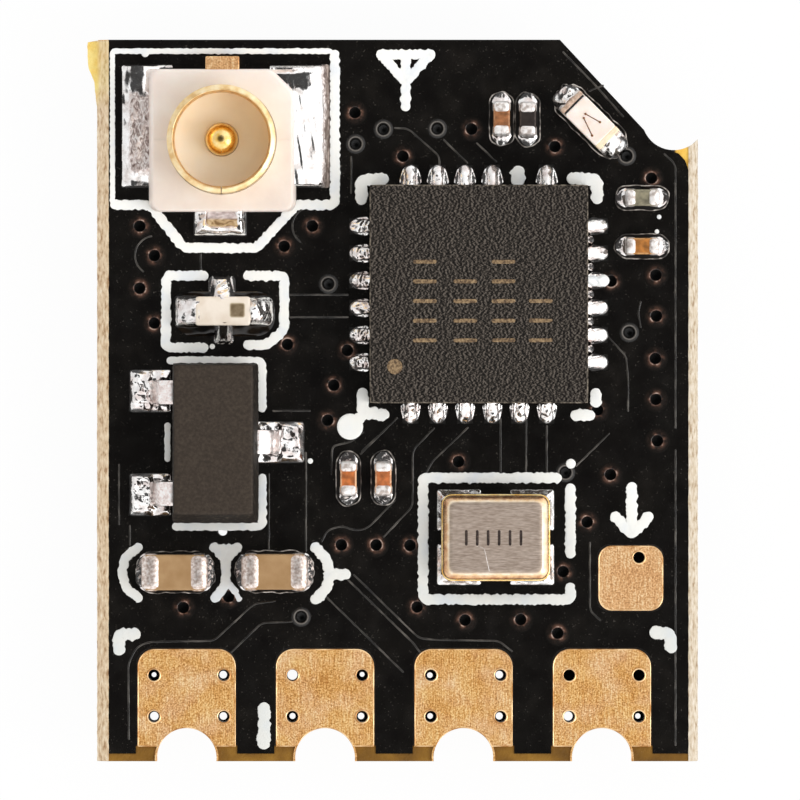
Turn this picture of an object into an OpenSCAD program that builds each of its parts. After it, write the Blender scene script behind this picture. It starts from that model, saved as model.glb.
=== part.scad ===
// Receiver module: a two-sided circuit board with an antenna socket and a radio chip above
// and a controller chip below. Millimetres, +Z up. The flat back of the controller rests at
// z = 0, the edge pads face -Y and the antenna socket stands at the +Y end.

/* [Board] */
// Width across the two scored side strips
board_w = 11; // [11:0.01:11.2]
// Length from the edge pads to the far edge
board_l = 13.24; // [13.2:0.01:13.4]
// Thickness of the bare laminate
core_t = 0.76; // [0.6:0.02:1.2]
// Thickness of each solder mask layer
mask_t = 0.02; // [0.01:0.005:0.03]
// Height of the printed legend above the mask
legend_t = 0.015; // [0.01:0.005:0.02]
// Clear height under the board
under_h = 0.9; // [0.9:0.01:1.1]
// Width of the bevelled strip along the left side
score_left = 0.2; // [0.1:0.01:0.2]
// Width of the bevelled strip along the right side
score_right = 0.16; // [0.1:0.01:0.16]
// Depth of each scoring cut
score_depth = 0.24; // [0.1:0.02:0.28]
// Finished diameter of a via
via_d = 0.21; // [0.15:0.01:0.24]
// Copper thickness of a via barrel
barrel_t = 0.025; // [0.02:0.005:0.03]

/* [Edge pads] */
// Spacing of the four edge pads
pad_pitch = 2.54; // [2.5:0.01:2.6]
// Middle of the pad row across the board
pad_row_x = -0.06; // [-0.1:0.01:0.1]
// Width of an edge pad
pad_w = 1.8; // [1.7:0.01:1.9]
// Height of an edge pad along the board
pad_l = 1.79; // [1.7:0.01:1.8]
// Rounding of the pad corners
pad_r = 0.32; // [0.2:0.01:0.4]
// Copper and gold thickness of a pad
pad_t = 0.035; // [0.02:0.005:0.04]
// Finished radius of the half hole in the board edge
notch_r = 0.55; // [0.45:0.01:0.57]
// Side of the square boot pad
boot_w = 1.19; // [1:0.01:1.2]

/* [Antenna socket] */
// Middle of the contact ring
socket_at = [-3.22, 4.78]; // [-4:0.01:5]
// Side of the square plastic housing
housing_w = 2.6; // [2.5:0.01:2.62]
// Thickness of the plastic housing
housing_h = 0.4; // [0.35:0.01:0.45]
// Outer diameter of the contact ring
ring_d = 2; // [1.9:0.01:2.1]
// Wall of the contact ring
ring_t = 0.1; // [0.08:0.01:0.12]
// Height of the ring above the board
socket_h = 1.25; // [1.1:0.01:1.4]
// Diameter of the middle pin
pin_d = 0.6; // [0.4:0.01:0.7]

/* [Chips] */
// Side of the square transceiver
transceiver_w = 4; // [3.9:0.01:4.1]
// Thickness of the transceiver
transceiver_h = 0.85; // [0.75:0.01:0.95]
// Side of the square controller
controller_w = 5; // [4.9:0.01:5.1]
// Spacing of the leads on both chips
lead_pitch = 0.5; // [0.48:0.01:0.52]
// Width of the regulator body
regulator_w = 1.65; // [1.6:0.01:1.7]
// Length of the regulator body
regulator_l = 2.93; // [2.85:0.01:3]
// Height of the regulator above the board
regulator_h = 1.12; // [1.05:0.01:1.2]
// Width of a regulator lead
regulator_lead_w = 0.44; // [0.35:0.01:0.45]

/* [Oscillator and lamp] */
// Length of the oscillator can
oscillator_l = 2; // [1.95:0.01:2.05]
// Width of the oscillator can
oscillator_w = 1.6; // [1.55:0.01:1.65]
// Length of the lamp
lamp_l = 1.06; // [1:0.01:1.1]
// Width of the lamp
lamp_w = 0.52; // [0.5:0.01:0.54]

/* [Passives] */
// Length, width and height of a supply capacitor
supply_size = [1.2, 0.68, 0.62]; // [0.5:0.01:1.3]
// Length, width and height of a small chip part
small_size = [0.62, 0.31, 0.3]; // [0.25:0.01:0.65]
// Length, width and height of the filter
filter_size = [1.3, 0.56, 0.45]; // [0.4:0.01:1.35]

/* [Hidden] */
$fn = 48;

// Levels of the layers
core_z = under_h + mask_t;
core_top = core_z + core_t;
board_top = core_top + mask_t;

// Solder left under a soldered part
joint_t = 0.03;
// Depth of a cut that goes through every layer
through = 3;

// Plan of the board: the chamfered corner and the round cut of the milling bit
mask_x = [-board_w / 2 + score_left, board_w / 2 - score_right];
mask_low_y = -board_l / 2 + 0.14;
chamfer_top = [2.98, board_l / 2];
chamfer_low = [4.52, 4.97];
mill_at = [5.07, 5.18];
mill_r = 0.585;
// Laminate left standing proud where the panel was snapped off at the upper left
burr = [[-5.4, 6.57], [-5.66, 6.57], [-5.68, 6.3], [-5.66, 6.12], [-5.54, 5.88], [-5.4, 5.34]];

// Edge pads: their places, their half holes and their four plated holes
pad_x = [for (i = [0:3]) pad_row_x + (i - 1.5) * pad_pitch];
pad_low_y = -board_l / 2 + 0.27;
notch_y = -board_l / 2 + 0.06;
pad_holes = [for (x = [-0.6, 0.68], y = [0.55, 1.31]) [x, y]];
boot_at = [4.28, -3.26];
boot_hole = [0.15, 0.38];
boot_r = 0.25;
mask_gap = 0.03;

// Vias, from the far edge of the board to the near one
vias = [
  [-0.78, 5.28], [1.36, 4.98], [-0.26, 4.98], [0.73, 4.99], [-0.77, 4.71], [2.89, 4.66], [0.1, 4.48],
  [4.2, 4.49], [4.66, 4.08], [-4.73, 3.2], [-1.56, 3.2], [-2.08, 2.83], [-4.46, 2.66], [4.74, 2.3],
  [3.92, 2.19], [-1.27, 2.14], [-4.73, 2.06], [4.75, 1.55], [-4.46, 1.42], [4.25, 1.25], [-2.02, 1.03],
  [-0.92, 0.92], [4.73, 0.77], [-1.17, 0.28], [4.74, 0.02], [3.67, -0.17], [-1.28, -0.36], [4.77, -0.74],
  [1.12, -1.12], [3.08, -1.32], [3.91, -1.36], [3.48, -2.23], [-1.03, -2.65], [-0.39, -2.65], [0.23, -2.66],
  [3.04, -3.14], [-3.1, -3.6], [0.36, -3.79], [-3.93, -3.8], [-1.77, -3.97], [2.26, -4.02], [1.24, -4.03],
  [2.94, -4.27]
];
// The one drilled hole that is open right through
open_hole = [-3.21, -2.4];
open_hole_d = 0.17;

// Places of the parts on the upper side
transceiver_at = [1.49, 1.95];
oscillator_at = [1.8, -2.51];
regulator_at = [-3.35, -0.78];
filter_at = [-3.2, 1.64];
input_capacitor_at = [-4.08, -3.15];
output_capacitor_at = [-2.25, -3.14];
lamp_at = [3.54, 5.12];
lamp_turn = -45;
// Each small chip part: its place and its turn
small_1 = [1.91, 5.17, 90];
small_r = [2.39, 5.16, 90];
small_2 = [4.49, 3.72, 0];
small_3 = [4.49, 2.83, 0];
small_4 = [-0.9, -1.43, 90];
small_5 = [-0.26, -1.43, 90];
small_places = [small_1, small_r, small_2, small_3, small_4, small_5];

// Places of the parts on the underside
controller_at = [0.2, 0.1];
crystal_at = [-3.95, 1.6];
bottom_1 = [-3.6, -1.2, 90];
bottom_2 = [-4.4, -1.2, 90];
bottom_3 = [4, 1.6, 90];
bottom_r = [4, -0.4, 90];
bottom_places = [bottom_1, bottom_2, bottom_3, bottom_r];

// Chip leads: width, reach under the chip, thickness and reach of the solder outside
lead_w = 0.25;
lead_l = 0.4;
lead_t = 0.2;
toe_w = 0.3;
toe_l = 0.38;
toe_h = 0.2;
transceiver_n = 6;
// Lead of the transceiver that is left without solder
missing_toe = 13;
controller_n = 8;
// Share of the chip's width that its middle pad takes up
heel = 0.65;

// Antenna socket: contact straps, tab and tail
housing_at = [-3.21, 4.77];
housing_r = 0.15;
housing_cut = 0.36;
housing_top = joint_t + housing_h;
strap_t = 0.15;
strap_w = 0.78;
strap_y = [3.98, 6.08];
// Middle of a strap, from the middle of the ring
strap_mid = [ring_d / 2 + 0.34, (strap_y[0] + strap_y[1]) / 2 - socket_at[1]];
// Size of the bar that joins a strap to the ring inside the housing
bar_size = [0.3, 0.9, 0.28];
tab_size = [0.62, 0.63, 0.14];
// Foot of the ring, and how far it tapers in below the top of the housing
ring_z = 0.25;
ring_root = 0.03;
tail_l = 1.66;
tail_t = 0.12;
socket_lands = [[-5.07, 3.9, -4.12, 6.17], [-2.34, 3.9, -1.24, 6.17], [-3.75, 3.01, -2.76, 3.8]];

// Chip parts: plating thickness and plated length at each end
skin = 0.015;
supply_band = 0.3;
small_band = 0.17;
filter_band = 0.13;
supply_land = [1.43, 0.74];
small_land = [0.98, 0.46];

// Oscillator: rounding of its can and heights of its layers
can_r = 0.16;
can_base_h = 0.42;
can_seal_h = 0.08;
can_lid_h = [0.12, 0.1];
can_land = [0.82, 0.76];

// Regulator: its mould line, draft and lead shape
regulator_low = 0.12;
regulator_mid = 0.62;
regulator_draft = 0.1;
regulator_lead_t = 0.12;
regulator_left_y = 0.93;
regulator_right_y = 0.02;
// Reach of a lead from the mould line
regulator_toe = 0.575;
regulator_lands = [[-1.59, 0.56, -0.81, 1.35], [-1.59, -1.34, -0.81, -0.55], [0.7, -0.37, 1.63, 0.4]];

// Lamp: heights of its base and lens, plated end length
lamp_base_h = 0.16;
lamp_lens_h = 0.26;
lamp_band = 0.13;
lamp_die_w = 0.17;
lamp_die_h = 0.08;
lamp_wire_d = 0.026;
lamp_face = joint_t + skin + lamp_base_h;
lamp_land = [1.62, 0.58];

// Puts a part on the upper side, z = 0 at the mask
module above(at, turn = 0) {
  translate([at[0], at[1], board_top]) rotate(turn) children();
}

// Hangs a part from the underside, z = 0 at the lower mask
module below(at, turn = 0) {
  translate([at[0], at[1], under_h]) mirror([0, 0, 1]) rotate(turn) children();
}

// Flat layer of a plan shape
module layer(z, t) {
  translate([0, 0, z]) linear_extrude(t) children();
}

// Rectangle with rounded corners, centred
module rounded(w, l, r) {
  square([w - 2 * r, l], center = true);
  square([w, l - 2 * r], center = true);
  for (x = [-1, 1], y = [-1, 1]) translate([x * (w / 2 - r), y * (l / 2 - r)]) circle(r);
}

// Rectangle from its low and high corners
module span(b) {
  translate([b[0], b[1]]) square([b[2] - b[0], b[3] - b[1]]);
}

// Printed line of one width through a row of points
module line(points, w) {
  for (i = [0:len(points) - 2]) {
    p = points[i];
    q = points[i + 1];
    translate(p) rotate(atan2(q[1] - p[1], q[0] - p[0])) translate([0, -w / 2]) square([norm(q - p), w]);
  }
  for (p = points) translate(p) circle(w / 2);
}

// Solder that climbs a wall at x = 0 and runs out over its land
module fillet(w, l, h) {
  rotate([90, 0, 0]) linear_extrude(w, center = true)
    polygon([[0, 0], [l, 0], [l * 0.45, h * 0.4], [0, h]]);
}

// Solder in a mask opening, up to the underside of the part
module wetted() {
  layer(-mask_t, mask_t + joint_t) children();
}

// Block with draft on its four sides, low face first
module drafted(low, high, h) {
  polyhedron(
    points = [for (s = [[low, 0], [high, h]], c = [[-1, -1], [1, -1], [1, 1], [-1, 1]])
      [c[0] * s[0][0] / 2, c[1] * s[0][1] / 2, s[1]]],
    faces = [[0, 1, 2, 3], [7, 6, 5, 4], [0, 4, 5, 1], [1, 5, 6, 2], [2, 6, 7, 3], [3, 7, 4, 0]]
  );
}

// Outline that the milling bit leaves, sides not yet scored
module milled_plan() {
  difference() {
    polygon([
      [-board_w, -board_l / 2], [board_w, -board_l / 2], [board_w, chamfer_low[1]],
      chamfer_low, chamfer_top, [-board_w, board_l / 2]
    ]);
    translate(mill_at) circle(mill_r);
  }
}

// Edge pad outline with square lower corners, grown by g
module pad_plan(g) {
  w = pad_w + 2 * g;
  l = pad_l + g;
  square_l = l - pad_r;
  translate([0, pad_low_y]) {
    translate([-w / 2, 0]) square([w, square_l]);
    translate([-w / 2 + pad_r, 0]) square([w - 2 * pad_r, l]);
    for (x = [-1, 1]) translate([x * (w / 2 - pad_r), square_l]) circle(pad_r);
  }
}

// Clear way in the mask over and below each edge pad
module pad_openings() {
  for (x = pad_x) translate([x, 0]) {
    pad_plan(mask_gap);
    translate([-pad_w / 2 - mask_gap, -board_l]) square([pad_w + 2 * mask_gap, board_l + pad_low_y + 0.1]);
  }
}

// Extent of the mask on either side of the board
module mask_plan() {
  difference() {
    intersection() {
      milled_plan();
      span([mask_x[0], mask_low_y, mask_x[1], board_l / 2]);
    }
    pad_openings();
    // Mask chipped back at the corner beside the milled cut
    polygon([[5, 4.58], [5.16, 4.53], [5.28, 4.4], [5.34, 4.22], [5.7, 4.22], [5.7, 4.9], [5, 4.9]]);
    translate(open_hole) circle(d = open_hole_d);
  }
}

// Lands of a two-ended chip part: one long opening
module chip_opening(land) {
  rounded(land[0], land[1], land[1] * 0.4);
}

// Lands of a leadless square chip
module chip_lands_plan(w, n, skip = -1) {
  for (side = [0:3], i = [0:n - 1]) if (side * n + i != skip)
    rotate(side * 90) translate([(i - (n - 1) / 2) * lead_pitch, -w / 2 + (lead_l - toe_l) / 2])
      square([toe_w, lead_l + toe_l], center = true);
  square(w * heel, center = true);
}

// Four corner lands of a can
module can_lands_plan() {
  for (x = [-1, 1], y = [-1, 1])
    translate([x * (oscillator_l / 2 - can_land[0] / 2 + 0.08), y * (oscillator_w / 2 - can_land[1] / 2 + 0.08)])
      rounded(can_land[0], can_land[1], 0.16);
}

module filter_lands_plan() {
  for (x = [-1, 1]) translate([x * 0.71, 0]) rounded(0.42, 0.64, 0.14);
  for (y = [-1, 1]) translate([0, y * 0.42]) rounded(0.44, 0.4, 0.12);
}

// Everything that the upper mask leaves open for solder
module top_openings() {
  for (b = socket_lands) span(b);
  translate(transceiver_at) chip_lands_plan(transceiver_w, transceiver_n, missing_toe);
  translate(oscillator_at) can_lands_plan();
  translate(regulator_at) for (b = regulator_lands) span(b);
  translate(filter_at) filter_lands_plan();
  for (p = [input_capacitor_at, output_capacitor_at]) translate(p) chip_opening(supply_land);
  translate(lamp_at) rotate(lamp_turn) chip_opening(lamp_land);
  for (p = small_places) translate([p[0], p[1]]) rotate(p[2]) chip_opening(small_land);
}
module bottom_openings() {
  translate(controller_at) chip_lands_plan(controller_w, controller_n);
  translate(crystal_at) can_lands_plan();
  for (p = bottom_places) translate([p[0], p[1]]) rotate(p[2]) chip_opening(small_land);
}

module board_core() {
  color("#a8741c") difference() {
    union() {
      intersection() {
        layer(core_z, core_t) milled_plan();
        translate([0, board_l, 0]) rotate([90, 0, 0]) linear_extrude(2 * board_l) polygon([
          [mask_x[0], core_z], [mask_x[1], core_z],
          [board_w / 2, core_z + score_depth], [board_w / 2, core_top - score_depth],
          [mask_x[1], core_top], [mask_x[0], core_top],
          [-board_w / 2, core_top - score_depth], [-board_w / 2, core_z + score_depth]
        ]);
      }
      layer(core_z + score_depth, core_t - 2 * score_depth) polygon(burr);
    }
    for (p = vias) translate([p[0], p[1], 0]) cylinder(h = through, d = via_d + 2 * barrel_t);
    for (x = pad_x) translate([x, 0, 0]) {
      translate([0, notch_y, 0]) cylinder(h = through, r = notch_r + pad_t);
      for (h = pad_holes) translate([h[0], pad_low_y + h[1], 0]) cylinder(h = through, d = via_d + 2 * barrel_t);
    }
    translate([boot_at[0] + boot_hole[0], boot_at[1] + boot_hole[1], 0])
      cylinder(h = through, d = via_d + 2 * barrel_t);
    translate([open_hole[0], open_hole[1], 0]) cylinder(h = through, d = open_hole_d);
  }
}

module top_mask() {
  color("#161412") layer(core_top, mask_t) difference() {
    mask_plan();
    translate(boot_at) rounded(boot_w + 2 * mask_gap, boot_w + 2 * mask_gap, boot_r);
    top_openings();
    for (p = vias) translate(p) circle(d = via_d);
  }
}

module bottom_mask() {
  color("#161412") layer(under_h, mask_t) difference() {
    mask_plan();
    bottom_openings();
    translate(boot_at + boot_hole) circle(d = via_d);
  }
}

// White outlines printed round the parts, broken where the lands and vias come through
module legend_plan() {
  // Round the antenna socket
  line([[-5.25, 6.41], [-1.24, 6.41]], 0.12);
  line([[-5.25, 6.41], [-5.25, 3.6]], 0.1);
  line([
    [-5.22, 3.59], [-4.54, 3.59], [-3.92, 2.8], [-2.58, 2.8], [-1.86, 3.59], [-1.15, 3.59], [-1.15, 6.38]
  ], 0.17);
  // Round the filter
  line([[-3.53, 2.29], [-4.25, 2.29], [-4.25, 0.97], [-3.53, 0.97]], 0.17);
  line([[-2.76, 2.29], [-2.08, 2.29], [-2.08, 1.3], [-2.4, 1.02], [-2.76, 1.02]], 0.17);
  // Round the regulator
  line([[-4.16, 0.73], [-2.48, 0.73], [-2.48, -0.14]], 0.14);
  line([[-2.48, -1.42], [-2.48, -2.31], [-4.06, -2.31]], 0.14);
  line([[-4.22, -0.46], [-4.22, -1.07]], 0.1);
  // Beside the supply capacitors
  line([[-4.76, -2.7], [-4.99, -2.86], [-5.06, -3.15], [-4.99, -3.44], [-4.76, -3.62]], 0.16);
  line([[-3.36, -2.7], [-3.15, -2.9], [-3.15, -3.44], [-3.36, -3.63]], 0.17);
  line([[-2.94, -2.7], [-3.15, -2.9]], 0.17);
  line([[-3.15, -3.44], [-2.94, -3.63]], 0.17);
  line([[-1.5, -2.7], [-1.3, -2.92], [-1.24, -3.19], [-1.3, -3.46], [-1.5, -3.64]], 0.17);
  line([[-1.24, -3.19], [-0.94, -3.2]], 0.16);
  // Round the oscillator
  line([[3.02, -1.42], [0.47, -1.42], [0.47, -3.65], [3.17, -3.65], [3.17, -3.4]], 0.17);
  line([[3.17, -1.55], [3.17, -2.86]], 0.17);
  // Corners of the transceiver, a round mark at its first lead
  line([[-0.7, 3.66], [-0.7, 4.09], [-0.25, 4.09]], 0.17);
  line([[3.2, 4.09], [3.67, 4.09], [3.67, 3.66]], 0.17);
  line([[-0.68, 0.16], [-0.68, -0.22], [-0.24, -0.26]], 0.17);
  translate([-0.87, -0.48]) circle(0.23);
  line([[3.65, 0.16], [3.65, -0.06]], 0.2);
  line([[3.24, -0.26], [3.6, -0.26]], 0.2);
  translate([2.21, 4.12]) circle(0.15);
  // Corner marks and a bar beside the edge pads
  polygon([[-5.22, -4.2], [-4.72, -4.2], [-5.22, -4.68]]);
  polygon([[5.16, -4.2], [4.68, -4.2], [5.16, -4.66]]);
  line([[-2.45, -5.65], [-2.45, -6.28]], 0.24);
  // Plain antenna sign beside the socket
  line([[0.15, 5.4], [0.15, 6.35]], 0.17);
  line([[-0.3, 6.35], [0.15, 5.84], [0.6, 6.35], [-0.3, 6.35]], 0.17);
  // Plain arrow that points at the boot pad
  line([[4.3, -2.46], [4.3, -1.6]], 0.19);
  line([[4, -2.14], [4.3, -2.46], [4.6, -2.14]], 0.19);
}

module legend() {
  color("#e8e9e6") layer(board_top, legend_t) difference() {
    intersection() {
      legend_plan();
      mask_plan();
    }
    top_openings();
    translate(boot_at) rounded(boot_w + 2 * mask_gap, boot_w + 2 * mask_gap, boot_r);
    for (p = vias) translate(p) circle(d = via_d + 0.02);
  }
}

module via_barrels() {
  color("#8a5a3c") for (p = vias) translate([p[0], p[1], core_z]) difference() {
    cylinder(h = core_t, d = via_d + 2 * barrel_t);
    translate([0, 0, -1]) cylinder(h = core_t + 2, d = via_d);
  }
}

// Castellated pad: two faces, the wall of the half hole and four plated holes
module edge_pad(x) {
  low = core_z - pad_t;
  h = core_t + 2 * pad_t;
  color("#cfa468") translate([x, 0, 0]) difference() {
    union() {
      for (z = [low, core_top]) layer(z, pad_t) pad_plan(0);
      intersection() {
        translate([0, notch_y, low]) cylinder(h = h, r = notch_r + pad_t);
        translate([-1, -board_l / 2, low]) cube([2, 2, h]);
      }
      for (p = pad_holes) translate([p[0], pad_low_y + p[1], low]) cylinder(h = h, d = via_d + 2 * barrel_t);
    }
    translate([0, notch_y, 0]) cylinder(h = through, r = notch_r);
    for (p = pad_holes) translate([p[0], pad_low_y + p[1], 0]) cylinder(h = through, d = via_d);
  }
}

module boot_pad() {
  color("#cfa468") translate([boot_at[0], boot_at[1], 0]) difference() {
    union() {
      layer(core_top, pad_t) rounded(boot_w, boot_w, boot_r);
      translate([boot_hole[0], boot_hole[1], core_z]) cylinder(h = core_t + pad_t, d = via_d + 2 * barrel_t);
    }
    translate([boot_hole[0], boot_hole[1], 0]) cylinder(h = through, d = via_d);
  }
}

module antenna_socket_housing() {
  w = housing_w;
  color("#f2e6da") difference() {
    above(housing_at) layer(joint_t, housing_h) difference() {
      rounded(w, w, housing_r);
      translate([w / 2, w / 2]) rotate(45) square(housing_cut * sqrt(2), center = true);
    }
    antenna_socket_shell();
    antenna_socket_pin();
  }
}

// Contact ring with a soldered strap on two sides and the cut end of its carrier strip
module antenna_socket_shell() {
  r = ring_d / 2;
  bore = r - ring_t;
  strap_l = strap_y[1] - strap_y[0];
  color("#e6cf98") above(socket_at) difference() {
    union() {
      translate([0, 0, ring_z]) cylinder(h = housing_top - ring_z, r1 = r - ring_root, r2 = r);
      translate([0, 0, housing_top]) cylinder(h = socket_h - housing_top, r = r);
      for (x = [-1, 1]) {
        translate([x * strap_mid[0], strap_mid[1], joint_t + strap_t / 2])
          cube([strap_w, strap_l, strap_t], center = true);
        translate([x * (r - ring_t / 2), 0, joint_t + bar_size[2] / 2]) cube(bar_size, center = true);
      }
      translate([housing_at[0] - socket_at[0] - tab_size[0] / 2, bore, ring_z]) cube(tab_size);
    }
    cylinder(h = housing_top, r1 = bore - ring_root, r2 = bore);
    translate([0, 0, housing_top]) cylinder(h = through, r = bore);
  }
}

module antenna_socket_pin() {
  r = pin_d / 2;
  straight = 0.72;
  color("#e0b458") above(socket_at) {
    translate([0, 0, joint_t]) cylinder(h = straight, r = r);
    translate([0, 0, joint_t + straight]) intersection() {
      sphere(r);
      cylinder(h = r, r = r);
    }
    translate([-r, -tail_l, joint_t]) cube([pin_d, tail_l, tail_t]);
  }
}

module antenna_socket_solder() {
  color("#c9c9c6") {
    above([0, 0]) wetted() for (b = socket_lands) span(b);
    above(socket_at) {
      // The right strap has the wider land beside it
      for (a = [[0, 0.24], [180, 0.11]]) rotate(a[0])
        translate([strap_mid[0] + strap_w / 2, cos(a[0]) * strap_mid[1], joint_t])
          fillet(strap_y[1] - strap_y[0] - 0.1, a[1], strap_t);
      translate([0, -tail_l, joint_t]) rotate(-90) fillet(pin_d, 0.1, 0.1);
    }
  }
}

// Leads of a square chip, flush with its faces, and its middle pad
module chip_leads(w, n) {
  for (side = [0:3], i = [0:n - 1]) rotate(side * 90)
    translate([(i - (n - 1) / 2) * lead_pitch - lead_w / 2, -w / 2, joint_t]) cube([lead_w, lead_l, lead_t]);
  translate([-w * heel / 2, -w * heel / 2, joint_t]) cube([w * heel, w * heel, lead_t]);
}

// Solder under a square chip and up the ends of its leads
module chip_solder(w, n, skip = -1) {
  wetted() chip_lands_plan(w, n, skip);
  for (side = [0:3], i = [0:n - 1]) if (side * n + i != skip) rotate(side * 90)
    translate([(i - (n - 1) / 2) * lead_pitch, -w / 2, joint_t]) rotate(-90) fillet(toe_w * 0.9, toe_l, toe_h);
}

module chip_mould(w, h, n) {
  difference() {
    translate([-w / 2, -w / 2, joint_t]) cube([w, w, h]);
    chip_leads(w, n);
  }
}

module transceiver_body() {
  color("#3c3733") above(transceiver_at) chip_mould(transceiver_w, transceiver_h, transceiver_n);
}

module transceiver_lands() {
  color("#c8c6c0") above(transceiver_at) chip_leads(transceiver_w, transceiver_n);
}

module transceiver_solder() {
  color("#c9c9c6") above(transceiver_at) chip_solder(transceiver_w, transceiver_n, missing_toe);
}

// Ceramic tray of a can, with a quarter-round plated groove down each corner
module can_base() {
  layer(joint_t, can_base_h) difference() {
    square([oscillator_l, oscillator_w], center = true);
    for (x = [-1, 1], y = [-1, 1]) translate([x * oscillator_l / 2, y * oscillator_w / 2]) circle(can_r * 0.75);
  }
}

module can_solder() {
  wetted() can_lands_plan();
}

module oscillator_base() {
  color("#3a3532") above(oscillator_at) can_base();
}

module oscillator_seal_ring() {
  color("#d8a85c") above(oscillator_at) layer(joint_t + can_base_h, can_seal_h)
    rounded(oscillator_l, oscillator_w, can_r);
}

module can_lid() {
  z = joint_t + can_base_h + can_seal_h;
  layer(z, can_lid_h[0]) rounded(oscillator_l - 0.1, oscillator_w - 0.1, can_r);
  layer(z + can_lid_h[0], can_lid_h[1]) rounded(oscillator_l - 0.28, oscillator_w - 0.28, can_r);
}

module oscillator_lid() {
  color("#afa096") above(oscillator_at) can_lid();
}

module oscillator_solder() {
  color("#c9c9c6") above(oscillator_at) can_solder();
}

// Gull-wing lead from its root in the mould to its toe, seen along the body
module gull_lead() {
  t = regulator_lead_t;
  rotate([90, 0, 0]) linear_extrude(regulator_lead_w, center = true) polygon([
    [-0.12, regulator_mid - t / 2], [0.13, regulator_mid - t / 2], [0.24, joint_t], [regulator_toe, joint_t],
    [regulator_toe, joint_t + t], [0.34, joint_t + t], [0.23, regulator_mid + t / 2], [-0.12, regulator_mid + t / 2]
  ]);
}

module regulator_leads_shape() {
  for (y = [-1, 1]) translate([-regulator_w / 2, y * regulator_left_y, 0]) rotate(180) gull_lead();
  translate([regulator_w / 2, regulator_right_y, 0]) gull_lead();
}

module regulator_body() {
  side = [regulator_w, regulator_l];
  face = side - 2 * [regulator_draft, regulator_draft];
  color("#463c34") above(regulator_at) difference() {
    union() {
      translate([0, 0, regulator_low]) drafted(face, side, regulator_mid - regulator_low);
      translate([0, 0, regulator_mid]) drafted(side, face, regulator_h - regulator_mid);
    }
    regulator_leads_shape();
  }
}

module regulator_leads() {
  color("#c8c6c0") above(regulator_at) regulator_leads_shape();
}

module regulator_solder() {
  toe_x = regulator_w / 2 + regulator_toe;
  color("#c9c9c6") above(regulator_at) {
    wetted() for (b = regulator_lands) span(b);
    for (y = [-1, 1]) translate([-toe_x, y * regulator_left_y, joint_t]) rotate(180)
      fillet(regulator_lead_w, 0.17, regulator_lead_t);
    translate([toe_x, regulator_right_y, joint_t]) fillet(regulator_lead_w, 0.2, regulator_lead_t);
  }
}

// Ceramic block of a chip part, inside its plating
module chip_block(size) {
  translate([0, 0, joint_t + size[2] / 2])
    cube([size[0] - 2 * skin, size[1] - 2 * skin, size[2] - 2 * skin], center = true);
}

// Plated ends of a chip part
module chip_ends(size, band) {
  for (x = [-1, 1]) difference() {
    translate([x * (size[0] - band) / 2, 0, joint_t + size[2] / 2])
      cube([band, size[1], size[2]], center = true);
    chip_block(size);
  }
}

// Solder of a two-ended chip part: half of the opening and a climb at each end
module end_solder(size, land, bare) {
  half = (land[0] - bare) / 2;
  wetted() intersection() {
    chip_opening(land);
    for (x = [-1, 1]) translate([x * (bare + half) / 2, 0]) square([half, land[1]], center = true);
  }
  for (x = [0, 180]) rotate(x) translate([size[0] / 2, 0, joint_t])
    fillet(size[1] * 0.8, (land[0] - size[0]) / 2 - 0.01, size[2] * 0.6);
}

module filter_body() {
  color("#e6d6b8") above(filter_at) chip_block(filter_size);
}

// Wrapped ends of the filter and a strip down the middle of each long side
module filter_terminals() {
  color("#c8c6c0") above(filter_at) {
    chip_ends(filter_size, filter_band);
    for (y = [-1, 1]) translate([0, y * (filter_size[1] - skin) / 2, joint_t + filter_size[2] / 2])
      cube([0.3, skin, filter_size[2]], center = true);
  }
}

module filter_solder() {
  color("#c9c9c6") above(filter_at) {
    wetted() filter_lands_plan();
    for (x = [0, 180]) rotate(x) translate([filter_size[0] / 2, 0, joint_t])
      fillet(filter_size[1] * 0.8, 0.26, filter_size[2] * 0.6);
    for (y = [90, 270]) rotate(y) translate([filter_size[1] / 2, 0, joint_t])
      fillet(0.34, 0.32, filter_size[2] * 0.6);
  }
}

module input_capacitor() {
  color("#b99a6e") above(input_capacitor_at) chip_block(supply_size);
}

module input_capacitor_ends() {
  color("#c8c6c0") above(input_capacitor_at) chip_ends(supply_size, supply_band);
}

module output_capacitor() {
  color("#b99a6e") above(output_capacitor_at) chip_block(supply_size);
}

module output_capacitor_ends() {
  color("#c8c6c0") above(output_capacitor_at) chip_ends(supply_size, supply_band);
}

module supply_capacitor_solder() {
  color("#c9c9c6") for (p = [input_capacitor_at, output_capacitor_at]) above(p)
    end_solder(supply_size, supply_land, 0.4);
}

module lamp_base() {
  color("#e8e0d4") above(lamp_at, lamp_turn) translate([0, 0, joint_t + skin + lamp_base_h / 2])
    cube([lamp_l - 2 * skin, lamp_w, lamp_base_h], center = true);
}

// Plated ends of the lamp, wrapped over and under its base
module lamp_terminals() {
  color("#d8c08c") difference() {
    above(lamp_at, lamp_turn) for (x = [-1, 1])
      translate([x * (lamp_l - lamp_band) / 2, 0, joint_t + skin + lamp_base_h / 2])
        cube([lamp_band, lamp_w, lamp_base_h + 2 * skin], center = true);
    lamp_base();
  }
}

module lamp_die() {
  color("#d9a05a") above(lamp_at, lamp_turn) translate([-lamp_die_w / 2, -lamp_die_w / 2, lamp_face])
    cube([lamp_die_w, lamp_die_w, lamp_die_h]);
}

// Two bond wires from the die towards the terminals
module lamp_wires() {
  color("#9a6a3a") above(lamp_at, lamp_turn) for (a = [28, -28]) rotate(a)
    translate([0.02, 0, lamp_face + lamp_die_h + lamp_wire_d / 2]) rotate([0, 90, 0])
      cylinder(h = 0.28, d = lamp_wire_d);
}

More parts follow.
